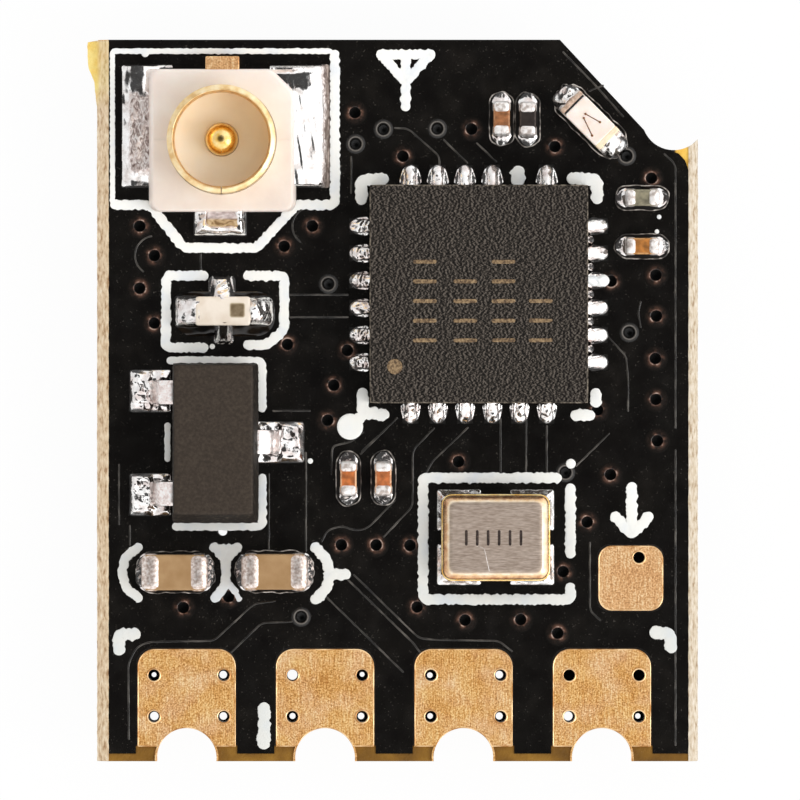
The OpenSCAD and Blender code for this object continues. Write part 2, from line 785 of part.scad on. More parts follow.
module lamp_lens() {
  lens_l = lamp_l - 2 * lamp_band;
  color("#f6ece2") difference() {
    above(lamp_at, lamp_turn) translate([0, 0, lamp_face])
      drafted([lens_l, lamp_w], [lens_l - 0.06, lamp_w - 0.04], lamp_lens_h);
    lamp_die();
    lamp_wires();
  }
}

module lamp_solder() {
  color("#c9c9c6") above(lamp_at, lamp_turn) end_solder([lamp_l, lamp_w, lamp_base_h], lamp_land, 0.5);
}

module small_block(place, shade) {
  color(shade) above(place, place[2]) chip_block(small_size);
}

module small_capacitor_1() {
  small_block(small_1, "#7a5236");
}

module small_capacitor_2() {
  small_block(small_2, "#78735f");
}

module small_capacitor_3() {
  small_block(small_3, "#b07448");
}

module small_capacitor_4() {
  small_block(small_4, "#c87336");
}

module small_capacitor_5() {
  small_block(small_5, "#c87336");
}

module small_resistor() {
  small_block(small_r, "#241c18");
}

module small_chip_ends() {
  color("#c8c6c0") for (p = small_places) above(p, p[2]) chip_ends(small_size, small_band);
}

module small_chip_solder() {
  color("#c9c9c6") for (p = small_places) above(p, p[2]) end_solder(small_size, small_land, 0.24);
}

module controller_body() {
  color("#3c3733") below(controller_at) chip_mould(controller_w, under_h - joint_t, controller_n);
}

module controller_lands() {
  color("#c8c6c0") below(controller_at) chip_leads(controller_w, controller_n);
}

module controller_solder() {
  color("#c9c9c6") below(controller_at) chip_solder(controller_w, controller_n);
}

module crystal_base() {
  color("#3a3532") below(crystal_at) can_base();
}

module crystal_lid() {
  color("#afa096") below(crystal_at) translate([0, 0, -can_seal_h]) can_lid();
}

module crystal_solder() {
  color("#c9c9c6") below(crystal_at) can_solder();
}

module bottom_block(place, shade) {
  color(shade) below(place, place[2]) chip_block(small_size);
}

module bottom_capacitor_1() {
  bottom_block(bottom_1, "#b07448");
}

module bottom_capacitor_2() {
  bottom_block(bottom_2, "#b07448");
}

module bottom_capacitor_3() {
  bottom_block(bottom_3, "#b07448");
}

module bottom_resistor() {
  bottom_block(bottom_r, "#241c18");
}

module bottom_chip_ends() {
  color("#c8c6c0") for (p = bottom_places) below(p, p[2]) chip_ends(small_size, small_band);
}

module bottom_chip_solder() {
  color("#c9c9c6") for (p = bottom_places) below(p, p[2]) end_solder(small_size, small_land, 0.24);
}

board_core();
top_mask();
bottom_mask();
legend();
via_barrels();
edge_pad(pad_x[0]);  // edge_pad_1
edge_pad(pad_x[1]);  // edge_pad_2
edge_pad(pad_x[2]);  // edge_pad_3
edge_pad(pad_x[3]);  // edge_pad_4
boot_pad();
antenna_socket_housing();
antenna_socket_shell();
antenna_socket_pin();
antenna_socket_solder();
transceiver_body();
transceiver_lands();
transceiver_solder();
oscillator_base();
oscillator_seal_ring();
oscillator_lid();
oscillator_solder();
regulator_body();
regulator_leads();
regulator_solder();
filter_body();
filter_terminals();
filter_solder();
input_capacitor();
input_capacitor_ends();
output_capacitor();
output_capacitor_ends();
supply_capacitor_solder();
lamp_base();
lamp_terminals();
lamp_die();
lamp_wires();
lamp_lens();
lamp_solder();
small_capacitor_1();
small_capacitor_2();
small_capacitor_3();
small_capacitor_4();
small_capacitor_5();
small_resistor();
small_chip_ends();
small_chip_solder();
controller_body();
controller_lands();
controller_solder();
crystal_base();
crystal_lid();
crystal_solder();
bottom_capacitor_1();
bottom_capacitor_2();
bottom_capacitor_3();
bottom_resistor();
bottom_chip_ends();
bottom_chip_solder();
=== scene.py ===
import bpy
import mathutils
import numpy as np
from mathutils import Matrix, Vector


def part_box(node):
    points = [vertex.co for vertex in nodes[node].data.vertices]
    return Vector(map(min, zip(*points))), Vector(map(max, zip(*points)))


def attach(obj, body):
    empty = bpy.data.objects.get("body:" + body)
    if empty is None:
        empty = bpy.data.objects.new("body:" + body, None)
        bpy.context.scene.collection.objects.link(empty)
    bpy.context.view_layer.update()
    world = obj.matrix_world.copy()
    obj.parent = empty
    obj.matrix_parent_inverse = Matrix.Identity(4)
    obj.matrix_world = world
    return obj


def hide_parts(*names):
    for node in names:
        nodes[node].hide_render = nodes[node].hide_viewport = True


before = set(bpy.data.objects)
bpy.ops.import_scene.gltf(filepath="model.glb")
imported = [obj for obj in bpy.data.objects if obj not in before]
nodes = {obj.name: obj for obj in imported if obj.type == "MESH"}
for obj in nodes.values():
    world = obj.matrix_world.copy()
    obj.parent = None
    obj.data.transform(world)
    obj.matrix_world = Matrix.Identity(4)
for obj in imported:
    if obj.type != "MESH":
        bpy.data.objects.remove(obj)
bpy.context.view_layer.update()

# Stage: the module lies on white paper in a white light tent and is seen from straight above through
# a long lens. The tent is brighter on the right and has a dark opening round the lens, a little to
# the upper left, which every level shiny face mirrors.
MM = 0.001


def box_of(name):
    """Lowest and highest corners of a CAD node, in millimetres."""
    return [np.array(corner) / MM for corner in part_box(name)]


board_top = box_of("top_mask")[1][2]
picture_w = 14.68
picture_at = (0.046, 0.009)
lens_gap = 300.0
film_w = 36.0

camera = bpy.data.cameras.new("camera")
camera.sensor_width = film_w
camera.lens = film_w * lens_gap / picture_w
camera_object = bpy.data.objects.new("camera", camera)
camera_object.location = (picture_at[0] * MM, picture_at[1] * MM, (board_top + lens_gap) * MM)
bpy.context.collection.objects.link(camera_object)
bpy.context.scene.camera = camera_object
bpy.context.scene.view_settings.view_transform = "Standard"

opening_axis = (-0.09, 0.09, 0.992)
opening_rim_painted_highlight = (0.87, 0.955)
opening_level, tent_level = 0.06, 1.2
tent_lean = (0.3, -0.13, 0.0)
world = bpy.data.worlds.new("light_tent")
world.use_nodes = True
bpy.context.scene.world = world
tent = world.node_tree
toward = tent.nodes.new("ShaderNodeTexCoord").outputs["Generated"]


def along(vector):
    """Cosine of the angle between the view direction and a vector, as a socket."""
    dot = tent.nodes.new("ShaderNodeVectorMath")
    dot.operation = "DOT_PRODUCT"
    dot.inputs[1].default_value = vector
    tent.links.new(toward, dot.inputs[0])
    return dot.outputs["Value"]


def span(tree, amount, low, high, start=0.0, stop=1.0):
    """Amount from low to high mapped to start to stop, and held level beyond them."""
    node = tree.nodes.new("ShaderNodeMapRange")
    for socket, value in zip(("From Min", "From Max", "To Min", "To Max"), (low, high, start, stop)):
        node.inputs[socket].default_value = value
    tree.links.new(amount, node.inputs["Value"])
    return node.outputs["Result"]


def combine(tree, operation, first, second=0.0):
    """Two amounts put together by a maths operation such as MAXIMUM. The second may be a plain number."""
    node = tree.nodes.new("ShaderNodeMath")
    node.operation = operation
    tree.links.new(first, node.inputs[0])
    if isinstance(second, float):
        node.inputs[1].default_value = second
    else:
        tree.links.new(second, node.inputs[1])
    return node.outputs["Value"]


opening = span(tent, along(opening_axis), *opening_rim_painted_highlight, tent_level, opening_level)
opening.node.interpolation_type = "SMOOTHSTEP"
lean = combine(tent, "ADD", along(tent_lean), 1.0)
tent.links.new(combine(tent, "MULTIPLY", opening, lean), tent.nodes["Background"].inputs["Strength"])
tent.nodes["Background"].inputs["Color"].default_value = (1, 1, 1, 1)

lamp = bpy.data.lights.new("side_lamp", "AREA")
lamp.shape, lamp.size, lamp.energy = "DISK", 0.2, 0.36
lamp_object = bpy.data.objects.new("side_lamp", lamp)
lamp_object.location = (0.26, -0.09, 0.2)
lamp_object.rotation_euler = mathutils.Vector(lamp_object.location).to_track_quat("Z", "Y").to_euler()
bpy.context.collection.objects.link(lamp_object)

paper_half, paper_drop, plain_white_share = 0.6, 0.00001, 0.955
paper_plan = [(x * paper_half, y * paper_half) for x, y in ((-1, -1), (1, -1), (1, 1), (-1, 1))]
paper_mesh = bpy.data.meshes.new("paper")
paper_mesh.from_pydata([(x, y, -paper_drop) for x, y in paper_plan], [], [(0, 1, 2, 3)])
paper = bpy.data.objects.new("paper", paper_mesh)
bpy.context.collection.objects.link(paper)
paper_white = bpy.data.materials.new("paper_white")
paper_white.use_nodes = True
sheet = paper_white.node_tree
ray = sheet.nodes.new("ShaderNodeLightPath").outputs
seen = combine(sheet, "MAXIMUM", ray["Is Camera Ray"], ray["Is Glossy Ray"])
seen = combine(sheet, "MAXIMUM", seen, ray["Is Transmission Ray"])
white = sheet.nodes.new("ShaderNodeEmission")
white.inputs["Strength"].default_value = 1.0
matt = sheet.nodes.new("ShaderNodeBsdfDiffuse")
matt.inputs["Color"].default_value = (0.9, 0.9, 0.9, 1)
both = sheet.nodes.new("ShaderNodeMixShader")
sheet.links.new(combine(sheet, "MULTIPLY", seen, plain_white_share), both.inputs[0])
sheet.links.new(matt.outputs[0], both.inputs[1])
sheet.links.new(white.outputs[0], both.inputs[2])
sheet.links.new(both.outputs[0], sheet.nodes["Material Output"].inputs["Surface"])
paper_mesh.materials.append(paper_white)


# Laminate core: woven glass in amber resin, scored on both long sides and snapped out of its panel.
# The snapped sides are torn and dusty, and at the upper left a tongue of yellow resin stands proud.
def ripple(x, y, size, seed):
    """Uneven wave about zero: twelve sine waves of seeded direction and phase, about size long, added up."""
    rng = np.random.default_rng(seed)
    turn = rng.uniform(0, 2 * np.pi, 12)
    pitch = 2 * np.pi / (size * rng.uniform(0.6, 1.8, 12))
    phase = rng.uniform(0, 2 * np.pi, 12)
    x, y = np.broadcast_arrays(x, y)
    run = np.multiply.outer(x, pitch * np.cos(turn)) + np.multiply.outer(y, pitch * np.sin(turn))
    return np.sin(run + phase).mean(-1) * 2.0


def rising(amount, run):
    """Share that rises from 0 at 0 to 1 at run, and is held level on both sides."""
    return np.clip(amount / run, 0, 1)


def ring_faces(rows, cols):
    """Quads between neighbouring rows of points, each row a closed ring, and one flat face on either end."""
    i, j = np.meshgrid(np.arange(rows - 1) * cols, np.arange(cols), indexing="ij")
    k = (j + 1) % cols
    quads = np.stack([i + j, i + k, i + cols + k, i + cols + j], -1).reshape(-1, 4)
    last = (rows - 1) * cols
    return quads.tolist() + [list(range(cols))[::-1], list(range(last, last + cols))]


def screen(red, green, blue):
    """Linear colour of one written as 0 to 255 on a screen."""
    level = np.array([red, green, blue]) / 255
    return (*np.where(level > 0.04045, ((level + 0.055) / 1.055) ** 2.4, level / 12.92), 1.0)


def new_finish(name, colour, roughness, metal=0.0, shine=0.5):
    """Finish of one colour, roughness, share of metal and strength of shine, on the shader's own sockets."""
    finish = bpy.data.materials.new(name)
    finish.use_nodes = True
    shader = finish.node_tree.nodes["Principled BSDF"]
    shader.inputs["Base Color"].default_value = screen(*colour)
    shader.inputs["Roughness"].default_value = roughness
    shader.inputs["Metallic"].default_value = metal
    shader.inputs["Specular IOR Level"].default_value = shine
    return finish, finish.node_tree, shader


def grain(tree, size, stretch=(1, 1, 1), detail=2.0, twist=0.0, shift=0.0):
    """Noise on Object coordinates in patches about size millimetres across, drawn out along each axis by
    stretch, curled up by twist and moved along x by shift."""
    place = tree.nodes.new("ShaderNodeTexCoord")
    draw = tree.nodes.new("ShaderNodeMapping")
    draw.inputs["Scale"].default_value = [1 / s for s in stretch]
    draw.inputs["Location"].default_value = (shift * MM, 0, 0)
    noise = tree.nodes.new("ShaderNodeTexNoise")
    noise.inputs["Scale"].default_value = 1 / (size * MM)
    noise.inputs["Detail"].default_value = detail
    noise.inputs["Distortion"].default_value = twist
    tree.links.new(place.outputs["Object"], draw.inputs["Vector"])
    tree.links.new(draw.outputs["Vector"], noise.inputs["Vector"])
    return noise.outputs["Fac"]


def shade_by(tree, amount, stops):
    """Colour ramp over an amount from 0 to 1, its stops written as (place, screen colour)."""
    ramp = tree.nodes.new("ShaderNodeValToRGB")
    while len(ramp.color_ramp.elements) < len(stops):
        ramp.color_ramp.elements.new(1.0)
    for element, (place, colour) in zip(ramp.color_ramp.elements, stops):
        element.position = place
        element.color = screen(*colour)
    tree.links.new(amount, ramp.inputs["Fac"])
    return ramp.outputs["Color"]


def patches(tree, size, stops, **make):
    """Colour that wanders through the stops in patches about size millimetres across: shade_by over grain."""
    return shade_by(tree, grain(tree, size, **make), stops)


def blend(tree, amount, first, second):
    """Colour that goes from the first to the second as the amount goes from 0 to 1."""
    node = tree.nodes.new("ShaderNodeMix")
    node.data_type = "RGBA"
    tree.links.new(amount, node.inputs["Factor"])
    tree.links.new(first, node.inputs[6])
    tree.links.new(second, node.inputs[7])
    return node.outputs[2]


def tint(tree, shader, colour):
    """Base colour of a finish, taken from a socket."""
    tree.links.new(colour, shader.inputs["Base Color"])


def roughen(tree, shader, amount, depth):
    """Bump that raises the surface by amount times depth millimetres."""
    bump = tree.nodes.new("ShaderNodeBump")
    bump.inputs["Distance"].default_value = depth * MM
    tree.links.new(amount, bump.inputs["Height"])
    tree.links.new(bump.outputs["Normal"], shader.inputs["Normal"])


def tone_of(tree):
    """The piece's own tone attribute at each point: 0 to 1, or 0 to 2 where a finish has three colours."""
    tone = tree.nodes.new("ShaderNodeAttribute")
    tone.attribute_name = "tone"
    return tone.outputs["Fac"]


def spot_of(tree):
    """Place of a point on the object: the sockets X, Y and Z."""
    place = tree.nodes.new("ShaderNodeTexCoord")
    split = tree.nodes.new("ShaderNodeSeparateXYZ")
    tree.links.new(place.outputs["Object"], split.inputs["Vector"])
    return split.outputs


def add_piece(name, parts, finish, stands_for=(), tone=None):
    """Joins parts, each points in millimetres and faces, into one smooth mesh that rides on the board."""
    points = np.vstack([p for p, f in parts])
    starts = np.cumsum([0] + [len(p) for p, f in parts])
    faces = [[n + s for n in face] for s, (p, f) in zip(starts, parts) for face in f]
    mesh = bpy.data.meshes.new(name)
    mesh.from_pydata((points * MM).tolist(), [], faces)
    mesh.shade_smooth()
    mesh.set_sharp_from_angle(angle=0.75)
    if tone is not None:
        values = np.concatenate(tone).ravel()
        mesh.attributes.new("tone", "FLOAT", "POINT").data.foreach_set("value", values)
    mesh.materials.append(finish)
    piece = bpy.data.objects.new(name, mesh)
    bpy.context.collection.objects.link(piece)
    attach(piece, "root")
    if stands_for:
        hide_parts(*stands_for)
    return piece


def paint(finish, *names):
    """Gives CAD nodes a finish."""
    for name in names:
        nodes[name].material_slots[0].material = finish


core_low, core_high = box_of("board_core")
mask_low, mask_high = box_of("top_mask")
left_strip_w, right_strip_w = 0.2, 0.16
tongue_y = (5.34, 5.6, 5.88, 6.12, 6.3, 6.57, 6.61)
tongue_reach = (0.0, 0.03, 0.06, 0.165, 0.18, 0.175, 0.16)
mill_at, mill_r = (5.07, 5.18), 0.585
right_top_y, right_drawn_y = 4.66, 4.2


def snapped_side(y, inner, outer, reach, seed):
    """Tube along y: its section climbs the lower bevel, the snapped face and the upper bevel, inner to outer,
    with a tongue of the given reach at half height, and every point is thrown out of true by ripple."""
    out = np.sign(outer - inner)
    share = np.array([0, 0.42, 0.8, 1, 1, 1, 1, 1, 0.8, 0.6, 0.4, 0.2, 0.0])
    proud = np.array([0, 0, 0, 0.1, 1, 1, 1, 0.1, 0, 0, 0, 0, 0])
    height = np.array([-0.012, 0.06, 0.14, 0.2, 0.235, 0.38, 0.525, 0.54, 0.6, 0.66, 0.71, 0.76, 0.788])
    x = inner + (outer - inner) * share[None] + out * reach[:, None] * proud[None]
    z = np.broadcast_to(core_low[2] + height[None], x.shape)
    along_y = np.broadcast_to(y[:, None], x.shape)
    torn = 0.5 * ripple(along_y, z + x, 0.35, seed) + 0.5 * ripple(along_y, 3 * z + x, 0.09, seed + 1)
    frayed = 0.005 * ripple(along_y, z * 0, 0.2, seed + 2)
    x = x + out * (0.014 + 0.012 * torn) * (share > 0) + out * frayed * (share == 0)
    z = z + 0.014 * ripple(along_y, x * 3, 0.1, seed + 3) * (share > 0) * (share < 1)
    points = np.stack([x, along_y, z], -1)
    tone = np.clip((np.abs(x) - abs(outer) + 0.05) / 0.05, 0.3, 1) * rising(reach[:, None], 0.05)
    if out > 0:
        points, tone = points[:, ::-1], tone[:, ::-1]
    return (points.reshape(-1, 3), ring_faces(*x.shape)), tone.ravel()


def follow_mill(points):
    """Upper end of the right side drawn up to the round cut of the milling bit, more so towards its end."""
    x, y, z = points.T
    cut = mill_at[1] - np.sqrt(np.clip(mill_r**2 - (x - mill_at[0]) ** 2, 0.01, None))
    drawn_up = rising(y - right_drawn_y, right_top_y - right_drawn_y) ** 3
    return np.stack([x, y + (cut - right_top_y) * drawn_up, z], -1)


amber, tree, shader = new_finish("amber_laminate", (136, 94, 34), 0.5, shine=0.3)
weave = [(0.3, (96, 64, 12)), (0.5, (122, 84, 20)), (0.72, (152, 110, 36))]
fibre = patches(tree, 0.16, weave, stretch=(4, 4, 0.35), detail=3.0)
resin_flank_and_painted_shade = patches(tree, 0.3, [(0.3, (222, 166, 52)), (0.7, (250, 206, 100))])
inside = patches(tree, 0.1, [(0.3, (14, 12, 10)), (0.7, (26, 21, 17))])
spot = spot_of(tree)
near_side = span(tree, combine(tree, "ABSOLUTE", spot["X"]), 5.08 * MM, 5.12 * MM)
sides = combine(tree, "MULTIPLY", near_side, span(tree, spot["Y"], 3.9 * MM, 4.2 * MM))
front = span(tree, spot["Y"], -6.32 * MM, -6.35 * MM)
above = span(tree, spot["Z"], (core_high[2] - 0.008) * MM, (core_high[2] - 0.002) * MM, 1.0, 0.0)
below = span(tree, spot["Z"], (core_low[2] + 0.008) * MM, (core_low[2] + 0.002) * MM, 1.0, 0.0)
cut = combine(tree, "MAXIMUM", combine(tree, "MULTIPLY", above, below), front)
tint(tree, shader, blend(tree, sides, blend(tree, cut, inside, fibre), resin_flank_and_painted_shade))
roughen(tree, shader, grain(tree, 0.05), 0.01)
paint(amber, "board_core")

torn_tan, tree, shader = new_finish("torn_laminate_tan", (222, 192, 148), 0.8)
dust_tans = [(0.3, (172, 134, 96)), (0.45, (220, 192, 156)), (0.62, (240, 218, 186)), (0.75, (250, 238, 214))]
dust = patches(tree, 0.06, dust_tans, stretch=(1, 2.5, 1), detail=4.0)
resin = patches(tree, 0.3, [(0.3, (246, 200, 88)), (0.6, (255, 232, 146))])
tint(tree, shader, blend(tree, tone_of(tree), dust, resin))
roughen(tree, shader, grain(tree, 0.04), 0.015)
y = np.linspace(core_low[1] + 0.004, core_high[1] - 0.01, 420)
reach = np.interp(y, tongue_y, tongue_reach, 0, 0)
part, tone = snapped_side(y, mask_low[0], mask_low[0] - left_strip_w, reach, 11)
add_piece("snapped_left_side", [part], torn_tan, tone=[tone])

torn_pale, tree, shader = new_finish("torn_laminate_pale", (238, 222, 192), 0.8)
dust_greys = [(0.3, (150, 125, 96)), (0.45, (190, 174, 150)), (0.7, (212, 202, 186))]
tint(tree, shader, patches(tree, 0.06, dust_greys, stretch=(1, 2.5, 1), detail=4.0))
roughen(tree, shader, grain(tree, 0.04), 0.015)
y = np.linspace(core_low[1] + 0.004, right_top_y, 360)
part, tone = snapped_side(y, mask_high[0], mask_high[0] + right_strip_w, y * 0, 21)
add_piece("snapped_right_side", [(follow_mill(part[0]), part[1])], torn_pale)


# Vias: plated holes that join the copper layers. The black mask is thin round their mouths, so the
# copper shows through as a brown halo, and a few are plugged with mask and show only a grey rim. The
# collars line the open holes in mask black down to their floors, a painted shade over the copper barrels.
def turned(profile, at, sides=28):
    """Profile of (radius, height) pairs turned about an upright axis at a plan point. Heights are counted
    from the board's face."""
    r, z = np.array(profile, float).T
    angle = np.arange(sides) * 2 * np.pi / sides
    x = at[0] + np.outer(r, np.cos(angle))
    y = at[1] + np.outer(r, np.sin(angle))
    z = np.repeat(board_top + z, sides).reshape(x.shape)
    return np.stack([x, y, z], -1).reshape(-1, 3), ring_faces(len(r), sides)


def by_ring(part, tones):
    """Tone of each point of a part that is built up of rings, from one tone for each ring."""
    return np.repeat(tones, len(part[0]) // len(tones))


def dull_by(tree, shader, amount, low, high):
    """Roughness that runs from low to high as the amount runs from 0.3 to 0.7."""
    tree.links.new(span(tree, amount, 0.3, 0.7, low, high), shader.inputs["Roughness"])


halo_vias = [
    (-0.78, 5.28), (1.36, 4.98), (2.89, 4.66), (0.1, 4.48), (4.66, 4.08), (-4.73, 3.2), (-1.56, 3.2),
    (-2.08, 2.83), (-4.46, 2.66), (4.74, 2.3), (3.92, 2.19), (-4.73, 2.06), (4.75, 1.55), (-4.46, 1.42),
    (-2.02, 1.03), (-0.92, 0.92), (4.73, 0.77), (-1.17, 0.28), (4.74, 0.02), (3.67, -0.17), (-1.28, -0.36),
    (4.77, -0.74), (1.12, -1.12), (3.91, -1.36), (3.48, -2.23), (-1.03, -2.65), (-0.39, -2.65), (0.23, -2.66),
    (3.04, -3.14), (-3.1, -3.6), (0.36, -3.79), (-3.93, -3.8), (2.26, -4.02), (1.24, -4.03), (2.94, -4.27),
]
plugged_vias = [
    (-0.77, 4.71), (-0.26, 4.98), (0.73, 4.99), (-1.27, 2.14), (4.25, 1.25), (-1.77, -3.97), (4.2, 4.49),
    (3.08, -1.32),
]
collar = [
    (0.004, -0.3), (0.1, -0.3), (0.102, -0.03), (0.25, -0.03), (0.252, -0.002), (0.225, 0.0008),
    (0.195, 0.002), (0.165, 0.004), (0.14, 0.007), (0.12, 0.008), (0.108, 0.004), (0.1, -0.01),
    (0.096, -0.06), (0.094, -0.27), (0.003, -0.28),
]
# Tone 0 down the hole is mask black: painted shade inside the via.
collar_tone = [0, 0, 0, 0, 0, 0.02, 0.2, 0.45, 0.66, 1.0, 0.95, 0.4, 0.0, 0, 0]
halo, tree, shader = new_finish("copper_under_mask", (118, 80, 62), 0.19, shine=0.35)
cloud = span(tree, grain(tree, 0.12, detail=5.0), 0.38, 0.62, 0.25, 1.0)
browns = [
    (0.0, (18, 16, 14)), (0.3, (38, 30, 26)), (0.6, (80, 57, 47)),
    (0.8, (116, 88, 75)), (1.0, (178, 154, 141)),
]
tint(tree, shader, shade_by(tree, combine(tree, "MULTIPLY", tone_of(tree), cloud), browns))
roughen(tree, shader, grain(tree, 0.06), 0.001)
collars = [turned(collar, at) for at in halo_vias]
add_piece("via_collars", collars, halo, tone=[by_ring(p, collar_tone) for p in collars])

plug = [
    (0.004, -0.3), (0.08, -0.3), (0.09, -0.03), (0.19, -0.03), (0.195, -0.002), (0.17, 0.002),
    (0.145, 0.01), (0.128, 0.014), (0.112, 0.008), (0.1, -0.012), (0.08, -0.26), (0.003, -0.28),
]
plug_tone = [0, 0, 0, 0, 0, 0.05, 0.5, 1.0, 0.5, 0.0, 0, 0]
rim_grey, tree, shader = new_finish("mask_rim", (120, 112, 104), 0.25, shine=0.4)
greys = [(0.0, (16, 14, 12)), (0.5, (44, 41, 38)), (1.0, (118, 112, 106))]
tint(tree, shader, shade_by(tree, tone_of(tree), greys))
roughen(tree, shader, grain(tree, 0.05), 0.004)
plugs = [turned(plug, at) for at in plugged_vias]
add_piece("via_plugs", plugs, rim_grey, tone=[by_ring(p, plug_tone) for p in plugs])

bare_copper, tree, shader = new_finish("bare_copper", (150, 96, 66), 0.45, 1.0)
dull_by(tree, shader, grain(tree, 0.08), 0.35, 0.6)
paint(bare_copper, "via_barrels")


# Solder mask: a black photo-printed lacquer over both faces. The edges of the copper tracks under it
# stand up as fine ridges, which catch the light as thin grey lines.
def leg_lengths(path):
    """Length of each straight leg of a path."""
    return np.hypot(*np.diff(path, axis=0).T)


def left_of(course):
    """Unit vectors square to a path's course, pointing to its left."""
    course = course / np.hypot(*course.T)[:, None]
    return np.stack([-course[:, 1], course[:, 0]], -1)


def even_steps(path, at):
    """Points at the given distances along a path."""
    run = np.r_[0, np.cumsum(leg_lengths(path))]
    return np.stack([np.interp(at, run, path[:, 0]), np.interp(at, run, path[:, 1])], -1)


def drawn_line(points, width, height, wander=0.0, seed=0, bend=0.1, step=0.05, wave=0.18, crown=0.5):
    """Raised line on the board: a low dome carried along a path, the flatter the smaller its crown. Corners
    are quadratic curves that start bend millimetres away, each edge wanders by ripple, and the ends are
    half round."""
    half, sunk = width / 2, 0.003
    p = np.array(points, float)
    length = leg_lengths(p)
    u = np.diff(p, axis=0) / length[:, None]
    cut = np.minimum(bend, 0.5 * np.minimum(length[:-1], length[1:]))[:, None]
    a, b = p[1:-1] - cut * u[:-1], p[1:-1] + cut * u[1:]
    t = np.linspace(0, 1, 9)[:, None, None]
    curves = ((1 - t) ** 2 * a + 2 * t * (1 - t) * p[1:-1] + t * t * b).transpose(1, 0, 2).reshape(-1, 2)
    path = np.vstack([p[:1] - half * u[0], curves, p[-1:] + half * u[-1]])
    total = leg_lengths(path).sum()
    cap = half * (1 - np.cos(np.linspace(0, np.pi / 2, 6)))[1:]
    middle = np.linspace(half, total - half, max(3, int((total - width) / step)))[1:-1]
    at = np.r_[0.01 * half, cap, middle, (total - cap)[::-1], total - 0.01 * half]
    path = even_steps(path, at)
    side = left_of(np.gradient(path, axis=0))
    near_end = np.clip(np.minimum(at, total - at) / half, 0, 1)
    taper = np.sqrt(1 - (1 - near_end) ** 2)
    turn = np.linspace(0, np.pi, 9)
    left_edge, right_edge = (ripple(*path.T, wave, seed + n)[:, None] for n in (0, 1))
    reach = half * taper[:, None] * (1 + wander * np.where(np.cos(turn) > 0, left_edge, right_edge))
    plan = path[:, None] + side[:, None] * (reach * np.cos(turn))[..., None]
    rise = board_top - sunk + (height + sunk) * np.sin(turn).clip(0, 1) ** crown * np.ones_like(reach)
    return np.concatenate([plan, rise[..., None]], -1).reshape(-1, 3), ring_faces(len(path), len(turn))


def arc_points(x, y, r, start, stop, count=16):
    """Points of a circular arc between two angles in degrees."""
    a = np.radians(np.linspace(start, stop, count))
    return np.stack([x + r * np.cos(a), y + r * np.sin(a)], -1)


lacquer, tree, shader = new_finish("black_mask", (18, 16, 14), 0.18, shine=0.35)
clean = patches(tree, 0.6, [(0.3, (13, 11, 10)), (0.55, (18, 16, 14)), (0.78, (27, 24, 21))], detail=6.0)
dusty = patches(tree, 0.3, [(0.35, (30, 28, 25)), (0.65, (66, 62, 57))])
tint(tree, shader, blend(tree, span(tree, grain(tree, 0.04, detail=1.0), 0.68, 0.78), clean, dusty))
dull_by(tree, shader, grain(tree, 0.3, detail=4.0), 0.14, 0.24)
roughen(tree, shader, grain(tree, 0.08, detail=3.0), 0.001)
paint(lacquer, "top_mask", "bottom_mask")

track_w, track_h, track_wander = 0.036, 0.009, 0.25
tracks = [
    [(-0.05, 5.0), (0.19, 4.99), (0.76, 4.49), (0.77, 4.34)], [(0.85, 4.78), (1.28, 4.36)],
    [(1.46, 4.72), (1.81, 4.38)], [(-0.85, 4.47), (-0.85, 3.81)], [(-3.61, 2.71), (-3.61, 2.34)],
    [(-1.97, 1.94), (-0.91, 1.94)], [(-1.97, 1.53), (-0.91, 1.53)], [(-2.28, -0.19), (-1.61, -0.19)],
    [(-2.36, -1.35), (-2.36, -2.76)], [(-1.68, -0.96), (-1.68, -2.76)], [(-5.11, -1.18), (-5.11, -2.27)],
    [(-4.91, -2.3), (-4.91, -2.65)], [(-1.21, -1.35), (-1.2, -0.83), (-0.87, -0.77), (-0.63, -0.58)],
    [(-0.65, -0.93), (-0.36, -0.65)],
    [
        (-1.39, -2.58), (-1.29, -2.38), (-1.02, -2.3), (-0.78, -2.39), (-0.56, -2.35), (-0.36, -2.16),
        (-0.05, -1.83),
    ],
    [(0.67, -0.51), (0.28, -0.91), (0.28, -1.94), (-0.25, -2.5)],
    [(1.29, -0.5), (0.63, -1.13), (0.54, -1.31)],
    [(1.89, -0.34), (1.89, -1.33)], [(2.36, -0.34), (2.36, -1.33)], [(2.74, -0.47), (2.74, -1.33)],
    [(-0.01, -0.32), (-0.67, -0.98)], [(3.28, -1.2), (3.88, -0.61)],
    [(3.86, 1.17), (4.19, 0.82), (4.23, 0.41), (4.23, -0.19)], [(4.46, 1.81), (4.41, 1.63), (4.46, 1.35)],
    [(3.53, -2.61), (3.53, -3.77), (3.55, -3.88), (3.72, -4.03)],
    [
        (-4.93, -6.21), (-4.94, -4.82), (-4.78, -4.52), (-4.56, -4.43), (-3.37, -4.41), (-2.63, -3.73),
        (-2.25, -3.68),
    ],
    [(-3.06, -4.63), (-2.49, -4.08), (-1.94, -4.06)], [(-0.91, -3.29), (0.28, -4.44), (0.42, -4.63)],
    [(-0.8, -3.2), (0.39, -4.36), (0.67, -4.39), (1.86, -4.41), (2.1, -4.6)], [(-1.29, -3.62), (0.1, -4.98)],
    [(4.9, 4.52), (5.1, 4.34), (5.1, -0.5)], [(5.1, -0.91), (5.1, -6.32)],
    [(3.04, 6.39), (3.58, 5.84), (4.14, 5.21)], [(3.52, 5.68), (3.77, 5.78)],
]
tracks += [arc_points(x, y, 0.36, 99, 234, 12) for x, y in ((-4.46, 2.66), (-1.57, 3.2))]
ridge, tree, shader = new_finish("mask_over_copper", (58, 54, 49), 0.22)
glints = [(0.34, (24, 22, 20)), (0.5, (46, 43, 39)), (0.68, (88, 83, 77))]
tint(tree, shader, patches(tree, 0.35, glints, detail=4.0))
ridges = [drawn_line(t, track_w, track_h, track_wander, 40 + i) for i, t in enumerate(tracks)]
add_piece("track_ridges", ridges, ridge)
